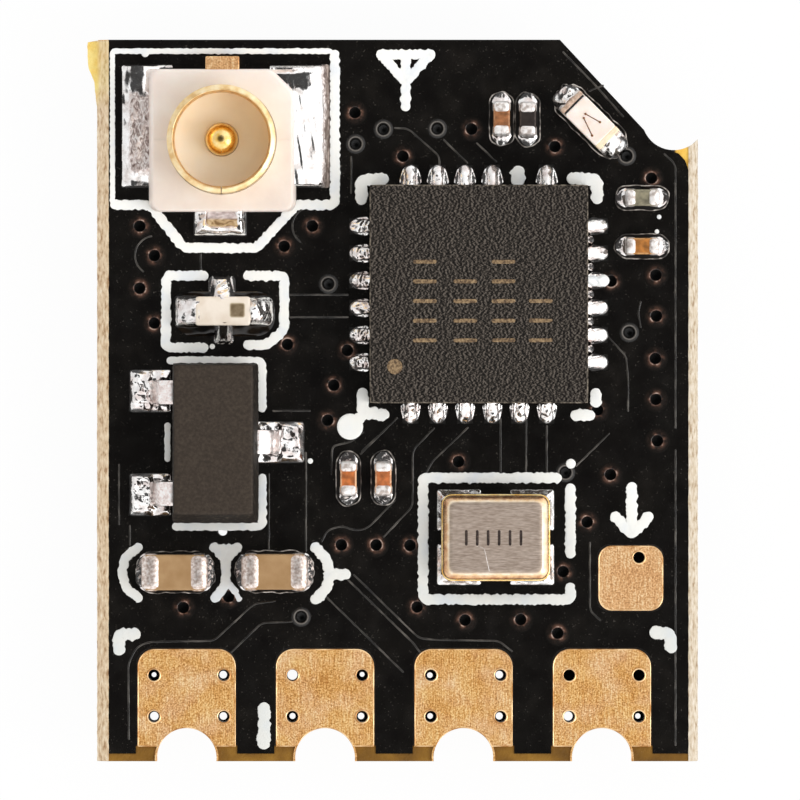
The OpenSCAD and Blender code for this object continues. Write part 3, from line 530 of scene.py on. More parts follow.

# Legend: thick white epoxy ink, screen printed over the mask as outlines and marks. Its edges wander
# with the mesh of the screen. Its colour is painted light: whiter towards the back and greyer towards the
# pads in front, to even out how the light falls across the board.
ink, tree, shader = new_finish("white_ink", (232, 233, 230), 0.5, shine=0.25)
cloudy = grain(tree, 0.5, detail=3.0)
ink_painted_whiter = shade_by(tree, cloudy, [(0.3, (234, 237, 239)), (0.46, (246, 246, 242)), (0.7, (252, 250, 243))])
ink_painted_greyer = shade_by(tree, cloudy, [(0.3, (208, 212, 214)), (0.46, (217, 218, 214)), (0.7, (223, 221, 214))])
# Painted light: the ink is whiter above y = -1 mm and greyer below y = -4 mm.
tint(tree, shader, blend(tree, span(tree, spot_of(tree)["Y"], -1 * MM, -4 * MM), ink_painted_whiter, ink_painted_greyer))
roughen(tree, shader, grain(tree, 0.08), 0.006)
ink_h, ink_spread = 0.022, 0.015
print_lines = [
    (0.09, [(-5.2, 6.41), (-1.24, 6.41)]),
    (0.08, [(-5.23, 6.38), (-5.23, 3.62)]),
    (0.17, [
        (-5.18, 3.59), (-4.54, 3.59), (-3.92, 2.8), (-2.58, 2.8), (-1.86, 3.59), (-1.15, 3.59), (-1.15, 6.34),
    ]),
    (0.17, [(-3.56, 2.29), (-4.25, 2.29), (-4.25, 0.97), (-3.56, 0.97)]),
    (0.17, [(-2.74, 2.29), (-2.08, 2.29), (-2.08, 1.3), (-2.4, 1.02), (-2.74, 1.02)]),
    (0.14, [(-4.16, 0.73), (-2.48, 0.73), (-2.48, -0.14)]),
    (0.14, [(-2.48, -1.42), (-2.48, -2.31), (-4.06, -2.31)]),
    (0.1, [(-4.22, -0.46), (-4.22, -1.07)]),
    (0.16, [(-4.76, -2.7), (-4.99, -2.86), (-5.06, -3.15), (-4.99, -3.44), (-4.76, -3.62)]),
    (0.17, [(-3.36, -2.7), (-3.15, -2.9), (-3.15, -3.38), (-3.34, -3.62)]),
    (0.17, [(-2.94, -2.7), (-3.15, -2.92)]),
    (0.09, [(-2.94, -3.58), (-2.91, -3.64)]),
    (0.19, [(-1.5, -2.7), (-1.3, -2.92), (-1.24, -3.19), (-1.3, -3.46), (-1.5, -3.64)]),
    (0.19, [(-1.22, -3.19), (-0.96, -3.19)]),
    (0.18, [(2.92, -1.42), (0.47, -1.42), (0.47, -3.65), (3.17, -3.65), (3.17, -3.44)]),
    (0.18, [(3.17, -1.62), (3.17, -2.8)]),
    (0.21, [(-0.66, 3.7), (-0.66, 4.05), (-0.27, 4.06)]),
    (0.22, [(3.22, 4.07), (3.66, 4.05), (3.66, 3.72)]),
    (0.21, [(-0.64, 0.12), (-0.64, -0.22), (-0.26, -0.26)]),
    (0.26, [(2.21, 4.07), (2.21, 4.17)]),
    (0.2, [(-0.62, -0.24), (-0.84, -0.46)]),
    (0.2, [(3.64, 0.12), (3.64, -0.02)]),
    (0.2, [(3.28, -0.27), (3.52, -0.27)]),
    (0.22, [(-4.83, -4.29), (-5.11, -4.29), (-5.11, -4.56)]),
    (0.22, [(4.74, -4.26), (5.0, -4.28), (5.02, -4.52)]),
    (0.23, [(-2.45, -5.66), (-2.45, -6.28)]),
    (0.17, [(0.15, 5.4), (0.15, 6.3)]),
    (0.17, [(-0.3, 6.35), (0.15, 5.84), (0.6, 6.35)]),
    (0.17, [(-0.3, 6.35), (0.6, 6.35)]),
    (0.19, [(4.3, -2.42), (4.3, -1.6)]),
    (0.19, [(4.0, -2.14), (4.3, -2.46), (4.6, -2.14)]),
    (0.15, [(-3.29, -2.72), (-3.0, -2.72)]),
    (0.12, [(-3.13, -3.34), (-2.98, -3.5)]),
]
ink_spots = [
    (0.24, -0.87, -0.48), (0.09, 3.18, -1.16), (0.042, 4.8, 3.37), (0.042, 4.76, 3.1),
    (0.05, -1.6, -1.11), (0.05, -3.4, 0.99), (0.07, -4.63, 6.37),
]
drop_profile = np.array([
    (1, -0.003), (1, 0.4 * ink_h), (0.96, 0.75 * ink_h), (0.86, 0.95 * ink_h), (0.6, ink_h),
    (0.01, 1.05 * ink_h),
])
strokes = [
    drawn_line(line, width + ink_spread, ink_h, 0.2, 100 + 2 * i, step=0.022, wave=0.1, crown=0.2)
    for i, (width, line) in enumerate(print_lines)
]
drops = [turned(drop_profile * (r, 1), (x, y)) for r, x, y in ink_spots]
add_piece("legend_print", strokes + drops, ink, ["legend"])

# Edge pads and boot pad: gold flashed copper, drawn over both faces and through a half hole in the edge.
# The plating is brushed along the board and mottled, with a bright worn rim round each pad and hole.
gold, tree, shader = new_finish("brushed_gold", (222, 176, 120), 0.5, 1.0)
brush = grain(tree, 0.022, (1, 16, 1), 2.0)
speckle = grain(tree, 0.03, detail=3.0)
stain = grain(tree, 0.55, detail=4.0)
worn = combine(tree, "ADD", span(tree, brush, 0, 1, 0.2, 0.8), speckle)
worn = combine(tree, "ADD", worn, span(tree, stain, 0, 1, 0.3, 0.7))
worn = span(tree, worn, 1.0, 2.0)
golden = shade_by(tree, worn, [(0.28, (200, 137, 70)), (0.5, (237, 182, 110)), (0.72, (255, 221, 160))])
rosy = shade_by(tree, worn, [(0.28, (206, 150, 100)), (0.5, (241, 190, 134)), (0.72, (255, 228, 184))])
flush = span(tree, grain(tree, 0.45, detail=5.0), 0.42, 0.66)
flush = combine(tree, "MAXIMUM", flush, span(tree, spot_of(tree)["Y"], -4.3 * MM, -4 * MM))
tint(tree, shader, blend(tree, flush, golden, rosy))
dull_by(tree, shader, speckle, 0.42, 0.6)
roughen(tree, shader, combine(tree, "ADD", brush, speckle), 0.0025)
paint(gold, "edge_pad_1", "edge_pad_2", "edge_pad_3", "edge_pad_4", "boot_pad")


def loop_faces(rows, cols):
    """Quads of rows by cols points where both the rows and the columns close on themselves."""
    i, j = np.meshgrid(np.arange(rows), np.arange(cols), indexing="ij")
    n, k = (i + 1) % rows, (j + 1) % cols
    return np.stack([i * cols + j, i * cols + k, n * cols + k, n * cols + j], -1).reshape(-1, 4).tolist()


def bead(path, z, r):
    """Round bead of radius r carried along a closed plan path."""
    side = left_of(np.roll(path, -1, 0) - np.roll(path, 1, 0))
    turn = np.arange(8) * np.pi / 4
    plan = path[:, None] + side[:, None] * (r * np.cos(turn))[None, :, None]
    rise = np.broadcast_to(z + r * np.sin(turn), plan.shape[:2])
    return np.concatenate([plan, rise[..., None]], -1).reshape(-1, 3), loop_faces(len(path), len(turn))


def closed_steps(path, count):
    """Closed path sampled at count even distances."""
    path = np.vstack([path, path[:1]])
    return even_steps(path, np.arange(count) * leg_lengths(path).sum() / count)


pad_low, pad_high = box_of("edge_pad_1")
pad_pitch, pad_count = 2.54, 4
pad_w = pad_high[0] - pad_low[0]
pad_mid_x = (pad_low[0] + pad_high[0]) / 2
pad_foot_y, pad_head_y, pad_r, pad_top = -6.35, pad_high[1], 0.32, pad_high[2]
notch_y, notch_r = -6.56, 0.55
hole_r = 0.105
pad_xs = [pad_mid_x + i * pad_pitch for i in range(pad_count)]
hole_steps = [(-0.6, 0.55), (0.68, 0.55), (-0.6, 1.31), (0.68, 1.31)]
pad_hole_at = [(x + dx, pad_foot_y + dy) for x in pad_xs for dx, dy in hole_steps]
boot_at, boot_w, boot_r = (4.28, -3.26), 1.19, 0.25
boot_hole_at = (4.43, -2.88)
pad_rim_in, boot_rim_in, rim_r, rim_sunk = 0.01, 0.012, 0.012, 0.008
mouth_out, mouth_r, mouth_sunk = 0.014, 0.017, 0.003


def pad_rim(x):
    """Rim of an edge pad: two rounded upper corners, straight legs and the arc of the half hole."""
    half, head, foot = pad_w / 2 - pad_rim_in, pad_head_y - pad_rim_in, pad_foot_y + pad_rim_in
    corner, notch = pad_r - pad_rim_in, notch_r + pad_rim_in
    lip = np.degrees(np.arcsin((foot - notch_y) / notch))
    rim = np.vstack([
        arc_points(half - corner, head - corner, corner, 0, 90),
        arc_points(corner - half, head - corner, corner, 90, 180),
        [(-half, foot)], arc_points(0, notch_y, notch, 180 - lip, lip, 24), [(half, foot)],
    ])
    return closed_steps(rim, 240) + [x, 0]


boot_corner = boot_r - boot_rim_in
boot_reach = boot_w / 2 - boot_rim_in - boot_corner
boot_rim = closed_steps(np.vstack([
    arc_points(sx * boot_reach, sy * boot_reach, boot_corner, 90 * i, 90 * i + 90)
    for i, (sx, sy) in enumerate(((1, 1), (-1, 1), (-1, -1), (1, -1)))
]), 140) + boot_at
rim_gold, tree, shader = new_finish("worn_gold_rim", (226, 184, 130), 0.35, 1.0)
tint(tree, shader, patches(tree, 0.3, [(0.35, (170, 118, 66)), (0.62, (246, 212, 164))]))
rims = [bead(rim, pad_top - rim_sunk, rim_r) for rim in [pad_rim(x) for x in pad_xs] + [boot_rim]]
mouths = [
    bead(arc_points(x, y, hole_r + mouth_out, 0, 345, 24), pad_top - mouth_sunk, mouth_r)
    for x, y in pad_hole_at + [boot_hole_at]
]
add_piece("pad_rims", rims + mouths, rim_gold)


def hole_shade_liner(at, mouth, shift):
    """Black sleeve in a plated hole, from its rim down its wall to a floor with a round mouth moved by
    shift. Its black is painted shade over the plated wall."""
    radius = np.array([hole_r + 0.004, hole_r - 0.004, hole_r - 0.006, mouth, mouth, hole_r + 0.002])
    height = np.array([0.005, 0.003, -0.55, -0.56, -0.6, -0.6])
    moved = np.array([0, 0, 0, 1, 1, 0])
    angle = np.arange(24) * np.pi / 12
    x = at[0] + moved[:, None] * shift[0] + np.outer(radius, np.cos(angle))
    y = at[1] + moved[:, None] * shift[1] + np.outer(radius, np.sin(angle))
    z = np.broadcast_to((board_top + height)[:, None], x.shape)
    return np.stack([x, y, z], -1).reshape(-1, 3), loop_faces(len(radius), len(angle))


hole_mouths = [
    (0.078, 0.0, 0.0), (0.07, -0.012, 0.0), (0.045, -0.005, 0.0), (0.07, -0.014, 0.0),
    (0.055, 0.0, 0.0), (0.06, -0.02, 0.0), (0.094, -0.003, 0.0), (0.045, 0.0, 0.005),
    (0.052, -0.01, 0.0), (0.066, -0.02, 0.0), (0.052, -0.015, -0.01), (0.07, -0.02, 0.0),
    (0.084, -0.014, 0.0), (0.05, -0.012, 0.0), (0.001, 0.0, 0.0), (0.001, 0.0, 0.0),
]
# Painted shade: the plated holes are lined in near-black, and the smallest mouths close a hole with it.
hole_painted_shade, tree, shader = new_finish("hole_wall_painted_shade", (14, 12, 11), 0.5)
dull_by(tree, shader, grain(tree, 0.05), 0.35, 0.7)
shade_liners = [hole_shade_liner(at, mouth, shift) for at, (mouth, *shift) in zip(pad_hole_at, hole_mouths)]
shade_liners.append(hole_shade_liner(boot_hole_at, 0.001, (0, 0)))
add_piece("pad_hole_shade_liners", shade_liners, hole_painted_shade)


# Antenna socket: an ivory moulded housing round a pressed gilt contact ring with a rolled lip and a seam,
# a domed pin in the middle, two straps and a tail soldered to lands at the sides and in front.
def rounded_outline(w, l, r, count):
    """Rounded rectangle as count even points, counter-clockwise from the middle of its right side."""
    x, y = w / 2 - r, l / 2 - r
    rim = np.vstack([
        [(w / 2, 0)], arc_points(x, y, r, 0, 90, 9), arc_points(-x, y, r, 90, 180, 9),
        arc_points(-x, -y, r, 180, 270, 9), arc_points(x, -y, r, 270, 360, 9),
    ])
    return closed_steps(rim, count)


def ring_at(plan, z):
    """Plan points raised to one height."""
    return np.column_stack([plan, np.full(len(plan), z)])


def moulded(w, l, r, profile, count=96, least=0.25):
    """Block: a rounded rectangle carried up a profile of (inset, height) pairs. Its corner radius shrinks
    with the inset, but not below the least share of r."""
    rings = []
    for inset, z in profile:
        ring_w, ring_l = w - 2 * inset, l - 2 * inset
        corner = min(max(r - inset, least * r), 0.45 * min(ring_w, ring_l))
        rings.append(ring_at(rounded_outline(ring_w, ring_l, corner, count), z))
    return np.vstack(rings), ring_faces(len(profile), count)


def eased_block(w, l, r, low, high, edge, count, steps=4):
    """Block from low to high whose lower and upper edges are quarter circles of radius edge."""
    a = np.linspace(0, np.pi / 2, steps + 1)
    lower = np.stack([edge * (1 - np.sin(a)), low + edge * (1 - np.cos(a))], -1)
    upper = np.stack([edge * (1 - np.cos(a)), high - edge * (1 - np.sin(a))], -1)
    return moulded(w, l, r, np.vstack([[(1.5 * edge, low)], lower, upper, [(1.5 * edge, high)]]), count)


def mound(w, l, r, height, rings=12, count=72, foot=-0.01):
    """Heap of solder: rings of a rounded rectangle shrink to its middle, and each point rises to
    height(x, y)."""
    share = 1 - np.linspace(0, 1, rings, endpoint=False) ** 1.2
    plan = rounded_outline(w, l, r, count)[None] * share[:, None, None]
    rise = height(plan[..., 0], plan[..., 1])
    top = np.concatenate([plan, rise[..., None]], -1).reshape(-1, 3)
    return np.vstack([ring_at(plan[0], foot), top]), ring_faces(rings + 1, count)


def placed(part, at, turn=0.0, z=None):
    """Part turned by turn degrees and moved to a plan point, its zero height on the board unless z is
    given."""
    points, faces = part
    a = np.radians(turn)
    x = points[:, 0] * np.cos(a) - points[:, 1] * np.sin(a) + at[0]
    y = points[:, 0] * np.sin(a) + points[:, 1] * np.cos(a) + at[1]
    return np.stack([x, y, points[:, 2] + (board_top if z is None else z)], -1), faces


def shifted(part, *step):
    """Part moved by a step in x, y and z."""
    return part[0] + np.array(step), part[1]


def slab(x, y, w, l):
    """Share from 0 at the rim of a rectangle to 1 at about a tenth of its width inside, steep at the rim."""
    near = np.minimum(1 - np.abs(x) / (w / 2), (l / w) * (1 - np.abs(y) / (l / 2)))
    return np.sqrt(rising(near, 0.22))


def three_tones(tree, first, second, third):
    """Colour that goes from the first to the second as the tone goes from 0 to 1, and on to the third as it
    goes from 1 to 2."""
    later = blend(tree, span(tree, tone_of(tree), 1.0, 2.0), second, third)
    return blend(tree, span(tree, tone_of(tree), 0.0, 1.0), first, later)


socket_at = np.array([-3.22, 4.78])
shell_high = box_of("antenna_socket_shell")[1]
ring_r, ring_h = 1.0, shell_high[2] - board_top
house_low, house_high = box_of("antenna_socket_housing")
house_at = (house_low[:2] + house_high[:2]) / 2
house_half, house_h = (house_high[0] - house_low[0]) / 2, house_high[2] - board_top
house_corner, house_cut, cut_round = 0.18, 0.48, 0.14
house_edge = 0.05
groove_w, groove_h = 0.007, 0.1
axis_at = socket_at - house_at
house_rim = closed_steps(np.vstack([
    arc_points(house_half - cut_round, house_half - house_cut, cut_round, 0, 45, 7),
    arc_points(house_half - house_cut, house_half - cut_round, cut_round, 45, 90, 7),
    arc_points(house_corner - house_half, house_half - house_corner, house_corner, 90, 180, 9),
    arc_points(house_corner - house_half, house_corner - house_half, house_corner, 180, 270, 9),
    arc_points(house_half - house_corner, house_corner - house_half, house_corner, 270, 360, 9),
]), 160)
rim_angle = np.arctan2(*(house_rim - axis_at).T[::-1])


def house_ring(inset, z):
    """Housing's outline drawn in by inset, or let out by a negative one, then a fifth as far in front and
    behind."""
    return ring_at(house_rim * (1 - np.array([inset, max(inset, 0.2 * inset)]) / house_half), z)


def bowl_ring(r, z):
    """Circle of radius r about the socket's axis, with one point for each point of the housing's outline."""
    return ring_at(np.stack([np.cos(rim_angle), np.sin(rim_angle)], -1) * r + axis_at, z)


draft = [(0.0, 0.03), (-0.05, 0.045), (-0.047, 0.2), (-0.028, house_h - 0.14), (-0.01, house_h - 0.06)]
rings = [house_ring(inset, z) for inset, z in draft]
for a in np.radians([15, 35, 55, 75, 90]):
    rings.append(house_ring(house_edge * (1 - np.cos(a)), house_h - house_edge + house_edge * np.sin(a)))
shoulder, mouth = rings[-1], bowl_ring(ring_r + groove_w, house_h)
rings += [shoulder * (1 - f) + mouth * f for f in np.linspace(0, 1, 6)[1:]]
rings.append(bowl_ring(ring_r + groove_w, house_h - groove_h))
floor_r = np.array([0.93, 0.9, 0.82, 0.7, 0.5, 0.36, 0.31, 0.28, 0.1])
floor_z = np.array([0.56, 0.57, 0.555, 0.54, 0.53, 0.53, 0.52, 0.3, 0.3])
rings += [bowl_ring(r, z) for r, z in zip(floor_r, floor_z)]
housing = placed((np.vstack(rings), ring_faces(len(rings), len(house_rim))), house_at)
# Painted shade and reflection: tone above 1.5 tints the bowl floor warm gold on its right, most near the
# ring, for the gilt wall's light and shadow.
painted_reflection_share = 1.5 + 0.5 * np.outer(floor_r / floor_r[0], np.cos(rim_angle - 0.4)).ravel()
house_tone = np.r_[np.zeros(len(housing[0]) - len(painted_reflection_share)), painted_reflection_share]
parting = []
for side in (-1, 1):
    ends = [(house_at[0] + side * x, socket_at[1]) for x in (1.05, house_half - house_edge)]
    parting.append(shifted(drawn_line(ends, 0.02, 0.004), 0, 0, house_h))
ivory, tree, shader = new_finish("ivory_housing", (244, 231, 218), 0.42, shine=0.3)
near_ivory = [(0.3, (230, 215, 205)), (0.55, (236, 222, 211)), (0.75, (240, 228, 219))]
# Painted light: the housing is painted lighter towards its back, where the tent's dark opening leaves it in
# shade.
back_ivory_painted_lighter = [(0.3, (243, 229, 220)), (0.55, (247, 235, 226)), (0.75, (250, 240, 232))]
near, back_painted_lighter = (patches(tree, 0.5, stops, detail=3.0) for stops in (near_ivory, back_ivory_painted_lighter))
outer = blend(tree, span(tree, spot_of(tree)["Y"], 3.9 * MM, 5.6 * MM), near, back_painted_lighter)
bowl = patches(tree, 0.5, [(0.3, (255, 248, 232)), (0.7, (255, 251, 240))], detail=3.0)
# Painted reflection and shade of the gilt ring on the bowl floor.
bowl_painted_reflection = patches(tree, 0.5, [(0.3, (246, 216, 168)), (0.7, (252, 226, 180))], detail=3.0)
tint(tree, shader, three_tones(tree, outer, bowl, bowl_painted_reflection))
shader.inputs["Subsurface Weight"].default_value = 0.15
shader.inputs["Subsurface Radius"].default_value = (0.0006, 0.0004, 0.0003)
roughen(tree, shader, grain(tree, 0.1, detail=4.0), 0.003)
add_piece(
    "socket_housing", [housing] + parting, ivory, ["antenna_socket_housing"],
    tone=[house_tone] + [np.zeros(len(p)) for p, f in parting],
)


def split_ring(profile, slit, sides=120):
    """Closed profile of (radius, height) pairs turned about the socket's axis, but for a slit in front."""
    r, z = np.array(profile, float).T
    a = -np.pi / 2 + np.linspace(slit / 2, 2 * np.pi - slit / 2, sides)[::-1]
    x = socket_at[0] + np.outer(np.cos(a), r)
    y = socket_at[1] + np.outer(np.sin(a), r)
    z = np.broadcast_to(board_top + z, x.shape)
    return np.stack([x, y, z], -1).reshape(-1, 3), ring_faces(sides, len(r))


wall = [
    (ring_r, house_h - groove_h - 0.03), (ring_r, ring_h - 0.07), (ring_r - 0.004, ring_h - 0.055),
    (ring_r - 0.014, ring_h - 0.042), (ring_r - 0.08, ring_h - 0.004), (ring_r - 0.088, ring_h),
    (ring_r - 0.098, ring_h), (ring_r - 0.107, ring_h - 0.008), (ring_r - 0.112, ring_h - 0.03),
    (ring_r - 0.135, ring_h - 0.2), (ring_r - 0.14, house_h - 0.03),
]
bore_tone = [0, 0, 0, 0, 0, 0, 0, 0, 0.8, 1, 1]
gilt, tree, shader = new_finish("gilt_contact", (248, 226, 178), 0.36, 1.0)
lip_golds = [(0.32, (226, 186, 128)), (0.5, (246, 219, 168)), (0.7, (253, 238, 204))]
bore_golds = [(0.32, (148, 100, 54)), (0.44, (226, 176, 98)), (0.65, (250, 216, 150))]
lip, bore = patches(tree, 0.2, lip_golds, detail=4.0), patches(tree, 0.14, bore_golds, detail=4.0)
tint(tree, shader, blend(tree, tone_of(tree), lip, bore))
dull_by(tree, shader, grain(tree, 0.1), 0.3, 0.45)
roughen(tree, shader, grain(tree, 0.04), 0.003)
ring = split_ring(wall, 0.022)
ring_tone = np.tile(bore_tone, len(ring[0]) // len(wall))
add_piece("contact_ring", [ring], gilt, ["antenna_socket_shell"], tone=[ring_tone])
tab = placed(eased_block(0.62, 0.3, 0.02, 0.25, 0.39, 0.015, 64), (-3.21, shell_high[1] - 0.15))
strap = eased_block(0.7, 2.0, 0.04, 0.03, 0.13, 0.02, 64)
straps = [placed(strap, (socket_at[0] + side * 1.3, 5.03)) for side in (-1, 1)]
add_piece("contact_tab_and_straps", [tab] + straps, gold)

pin_r, pin_straight = 0.3, 0.75
pin_profile = [(0.02, 0.03), (pin_r, 0.03), (pin_r, pin_straight)]
for a in np.radians(np.linspace(0, 88, 14))[1:]:
    pin_profile.append((pin_r * np.cos(a), pin_straight + pin_r * np.sin(a)))
pin_gold, tree, shader = new_finish("pin_gold", (244, 194, 92), 0.22, 1.0)
tint(tree, shader, patches(tree, 0.15, [(0.35, (230, 184, 92)), (0.65, (252, 224, 156))]))
pin = turned(pin_profile, socket_at, 48)
add_piece("contact_pin", [pin], pin_gold, ["antenna_socket_pin"])
tail_tin, tree, shader = new_finish("tail_tin", (236, 222, 218), 0.54, 1.0)
drawn_out = grain(tree, 0.09, (2, 1, 1), 4.0, 1.0)
tail_silvers = [(0.36, (196, 180, 177)), (0.5, (228, 213, 210)), (0.62, (247, 238, 235))]
tail_straws = [(0.36, (150, 118, 82)), (0.5, (204, 172, 130)), (0.62, (232, 206, 166))]
silvery, straw = (shade_by(tree, drawn_out, stops) for stops in (tail_silvers, tail_straws))
tint(tree, shader, blend(tree, span(tree, spot_of(tree)["Y"], 3.35 * MM, 3.31 * MM), silvery, straw))
roughen(tree, shader, drawn_out, 0.01)
tail = placed(eased_block(0.6, 0.9, 0.03, 0.05, 0.2, 0.02, 64), socket_at + [0.03, -1.2])
add_piece("contact_tail", [tail], tail_tin)

bright, tree, shader = new_finish("bright_solder", (236, 232, 230), 0.12, 1.0)
silvers = [(0.34, (214, 202, 198)), (0.5, (238, 234, 232)), (0.7, (250, 250, 249))]
tint(tree, shader, patches(tree, 0.2, silvers, detail=3.0))
dull_by(tree, shader, grain(tree, 0.15), 0.07, 0.2)
roughen(tree, shader, grain(tree, 0.17, detail=3.0), 0.02)
left_leg_w, right_leg_w, leg_l, leg_y = 0.95, 1.1, 2.27, 5.035
heap_w, heap_l = 0.99, 0.79


def left_leg(x, y):
    """Solder over the left strap: it climbs from the left at about 20 degrees to a level top, which slopes
    down to the housing at the back, falls away in front and ripples."""
    rim = np.sqrt(rising(x + left_leg_w / 2, 0.03) * rising(leg_l / 2 - np.abs(y), 0.04))
    climb = 0.06 * rising(x + 0.46 - 0.02 * ripple(y, 0 * y, 0.5, 2), 0.17)
    back = 0.1 * rising(x + 0.07 + 0.03 * ripple(y, 0 * y, 0.3, 12), 0.3) * rising(y - 0.55, 0.08)
    front = 0.05 * rising(-0.8 - y, 0.2)
    waves = 0.006 * ripple(x, 0.7 * y, 0.12, 3) + 0.012 * ripple(x, y, 0.3, 4)
    return 0.02 + rim * (0.13 + climb - back - front + waves)


def left_skin(x, y):
    """Share of dull skin on the left leg: all of the level top but its back and its front."""
    wander = 0.06 * ripple(x, y, 0.2, 9)
    return rising(x + 0.33 + 0.3 * wander, 0.03) * rising(0.62 - y + wander, 0.05) * rising(y + 0.92, 0.1)


def right_leg(x, y):
    """Solder over the right strap: it leans to the right in long streaks, lies level in a patch at the back
    and drops steeply at its outer side, which bulges in the middle."""
    bulge = 0.03 * (1 - (y / (leg_l / 2)) ** 2)
    lean = 0.32 - 0.17 * rising(x + 0.12, 0.5)
    roll = rising(0.5 + bulge - x, 0.13) * np.sqrt(rising(leg_l / 2 - np.abs(y), 0.06))
    edge = 0.04 * ripple(x, y, 0.25, 13)
    level = rising(0.25 - x + edge, 0.04) * rising(y - 0.64 + edge, 0.05) * rising(1.03 - y, 0.04)
    inner = rising(0.26 - x, 0.2)
    streaks = (0.008 + 0.005 * inner) * ripple(x + 0.12 * y, 0.3 * y, 0.13, 5)
    streaks = streaks + 0.012 * ripple(x, 0.6 * y, 0.4, 6)
    crumbs = 0.005 * level * ripple(x, y, 0.08, 14)
    return 0.02 + roll * (lean + level * (0.24 - lean) + (1 - 0.5 * level) * streaks + crumbs)


def right_skin(x, y):
    """Dull skin on the right leg: its steep outer side, with twice the tone so that it takes a darker skin as
    painted shade.
    """
    bulge = 0.03 * (1 - (y / (leg_l / 2)) ** 2)
    return 2 * rising(x - 0.38 - bulge + 0.02 * ripple(y, 0 * y, 0.3, 10), 0.09)


def tail_heap(x, y):
    """Solder round the tail: heaps at both sides and in front, lower under the tail itself."""
    lower = 0.08 * rising(0.3 - np.abs(x - 0.03), 0.08) * rising(y + 0.24, 0.1)
    waves = 0.045 * ripple(x, y, 0.3, 7) + 0.01 * ripple(x, y, 0.12, 8)
    return 0.02 + slab(x, y, heap_w, heap_l) * (0.19 - lower + waves)


left = mound(left_leg_w, leg_l, 0.06, left_leg, 30, 200)
right = mound(right_leg_w, leg_l, 0.06, right_leg, 30, 200)
front_heap = mound(heap_w, heap_l, 0.06, tail_heap, 20, 120)
skins = [left_skin(*left[0][:, :2].T), right_skin(*right[0][:, :2].T), np.zeros(len(front_heap[0]))]
drawn, tree, shader = new_finish("drawn_solder", (236, 232, 230), 0.12, 1.0)
mirrors = [(0.34, (212, 204, 200)), (0.5, (242, 239, 237)), (0.7, (254, 254, 254))]
mirror = patches(tree, 0.2, mirrors, detail=3.0)
swirl = grain(tree, 0.07, (1, 2, 1), 3.0, 1.5)
skin = shade_by(tree, swirl, [(0.36, (140, 122, 116)), (0.5, (220, 204, 198)), (0.62, (255, 248, 245))])
# Painted shade: tone 2 gives the right leg's steep outer side a darker grey skin.
shaded_skin = shade_by(tree, swirl, [(0.34, (116, 102, 94)), (0.5, (138, 124, 116)), (0.64, (160, 147, 139))])
tint(tree, shader, three_tones(tree, mirror, skin, shaded_skin))
tree.links.new(span(tree, tone_of(tree), 0.0, 1.0, 0.12, 0.46), shader.inputs["Roughness"])
crumple = grain(tree, 0.1, detail=3.0, twist=1.0)
crumple = combine(tree, "MULTIPLY", crumple, span(tree, tone_of(tree), 0.0, 1.0, 0.3, 1.0))
crumple = combine(tree, "MULTIPLY", crumple, span(tree, tone_of(tree), 1.0, 2.0, 1.0, 0.2))
roughen(tree, shader, crumple, 0.012)
legs = [placed(left, (-4.6, leg_y)), placed(right, (-1.79, leg_y)), placed(front_heap, (-3.255, 3.405))]
add_piece("socket_solder", legs, drawn, ["antenna_socket_solder"], tone=skins)


# Transceiver: a square leadless chip in black moulding compound with a coarse matt grain, whose light and
# dark are painted as if its relief were lit from one side, with a painted highlight along its upper edge. Its
# lands end flush with its sides, and solder climbs each of them in a bright lump; one place is bare ink.
chip_at, chip_w = (1.49, 1.95), 4.0
chip_top = box_of("transceiver_body")[1][2] - board_top
lead_pitch, lead_count = 0.5, 6
mould, tree, shader = new_finish("moulding_compound", (52, 46, 40), 0.65, shine=0.15)
# Painted light and shade: the grain minus a copy of itself moved 0.029 mm along x colours the moulding as if
# its relief were lit from one side.
speck = grain(tree, 0.04, detail=3.0)
lit_side = combine(tree, "SUBTRACT", speck, grain(tree, 0.04, detail=3.0, shift=0.029))
lit_side = combine(tree, "ADD", lit_side, span(tree, grain(tree, 0.03, detail=3.0), 0.2, 0.8, -0.2, 0.2))
painted_relief_greys = [(0.15, (13, 10, 8)), (0.5, (41, 36, 31)), (0.85, (97, 89, 81))]
painted_relief_light = shade_by(tree, span(tree, lit_side, -0.25, 0.25), painted_relief_greys)
chips_and_painted_edge_highlight = patches(tree, 0.09, [(0.42, (48, 42, 36)), (0.62, (156, 144, 128))], detail=4.0)
tint(tree, shader, blend(tree, tone_of(tree), painted_relief_light, chips_and_painted_edge_highlight))
roughen(tree, shader, speck, 0.05)
# Painted highlight: the rounded upper edge is painted paler in a band that peaks halfway round it, broken
# into chips.
chip_edge_highlight = [0, 0, 0, 0, 0, 0, 0.3, 0.7, 0.9, 0.7, 0.3, 0]
body = placed(eased_block(chip_w, chip_w, 0.03, 0.03, chip_top, 0.02, 128), chip_at)
add_piece(
    "transceiver_mould", [body], mould, ["transceiver_body"],
    tone=[by_ring(body, chip_edge_highlight)],
)

tinned, tree, shader = new_finish("tinned_metal", (222, 218, 214), 0.3, 1.0)
dull_by(tree, shader, grain(tree, 0.08), 0.2, 0.45)
roughen(tree, shader, grain(tree, 0.05), 0.006)
paint(tinned, "transceiver_lands", "controller_lands")


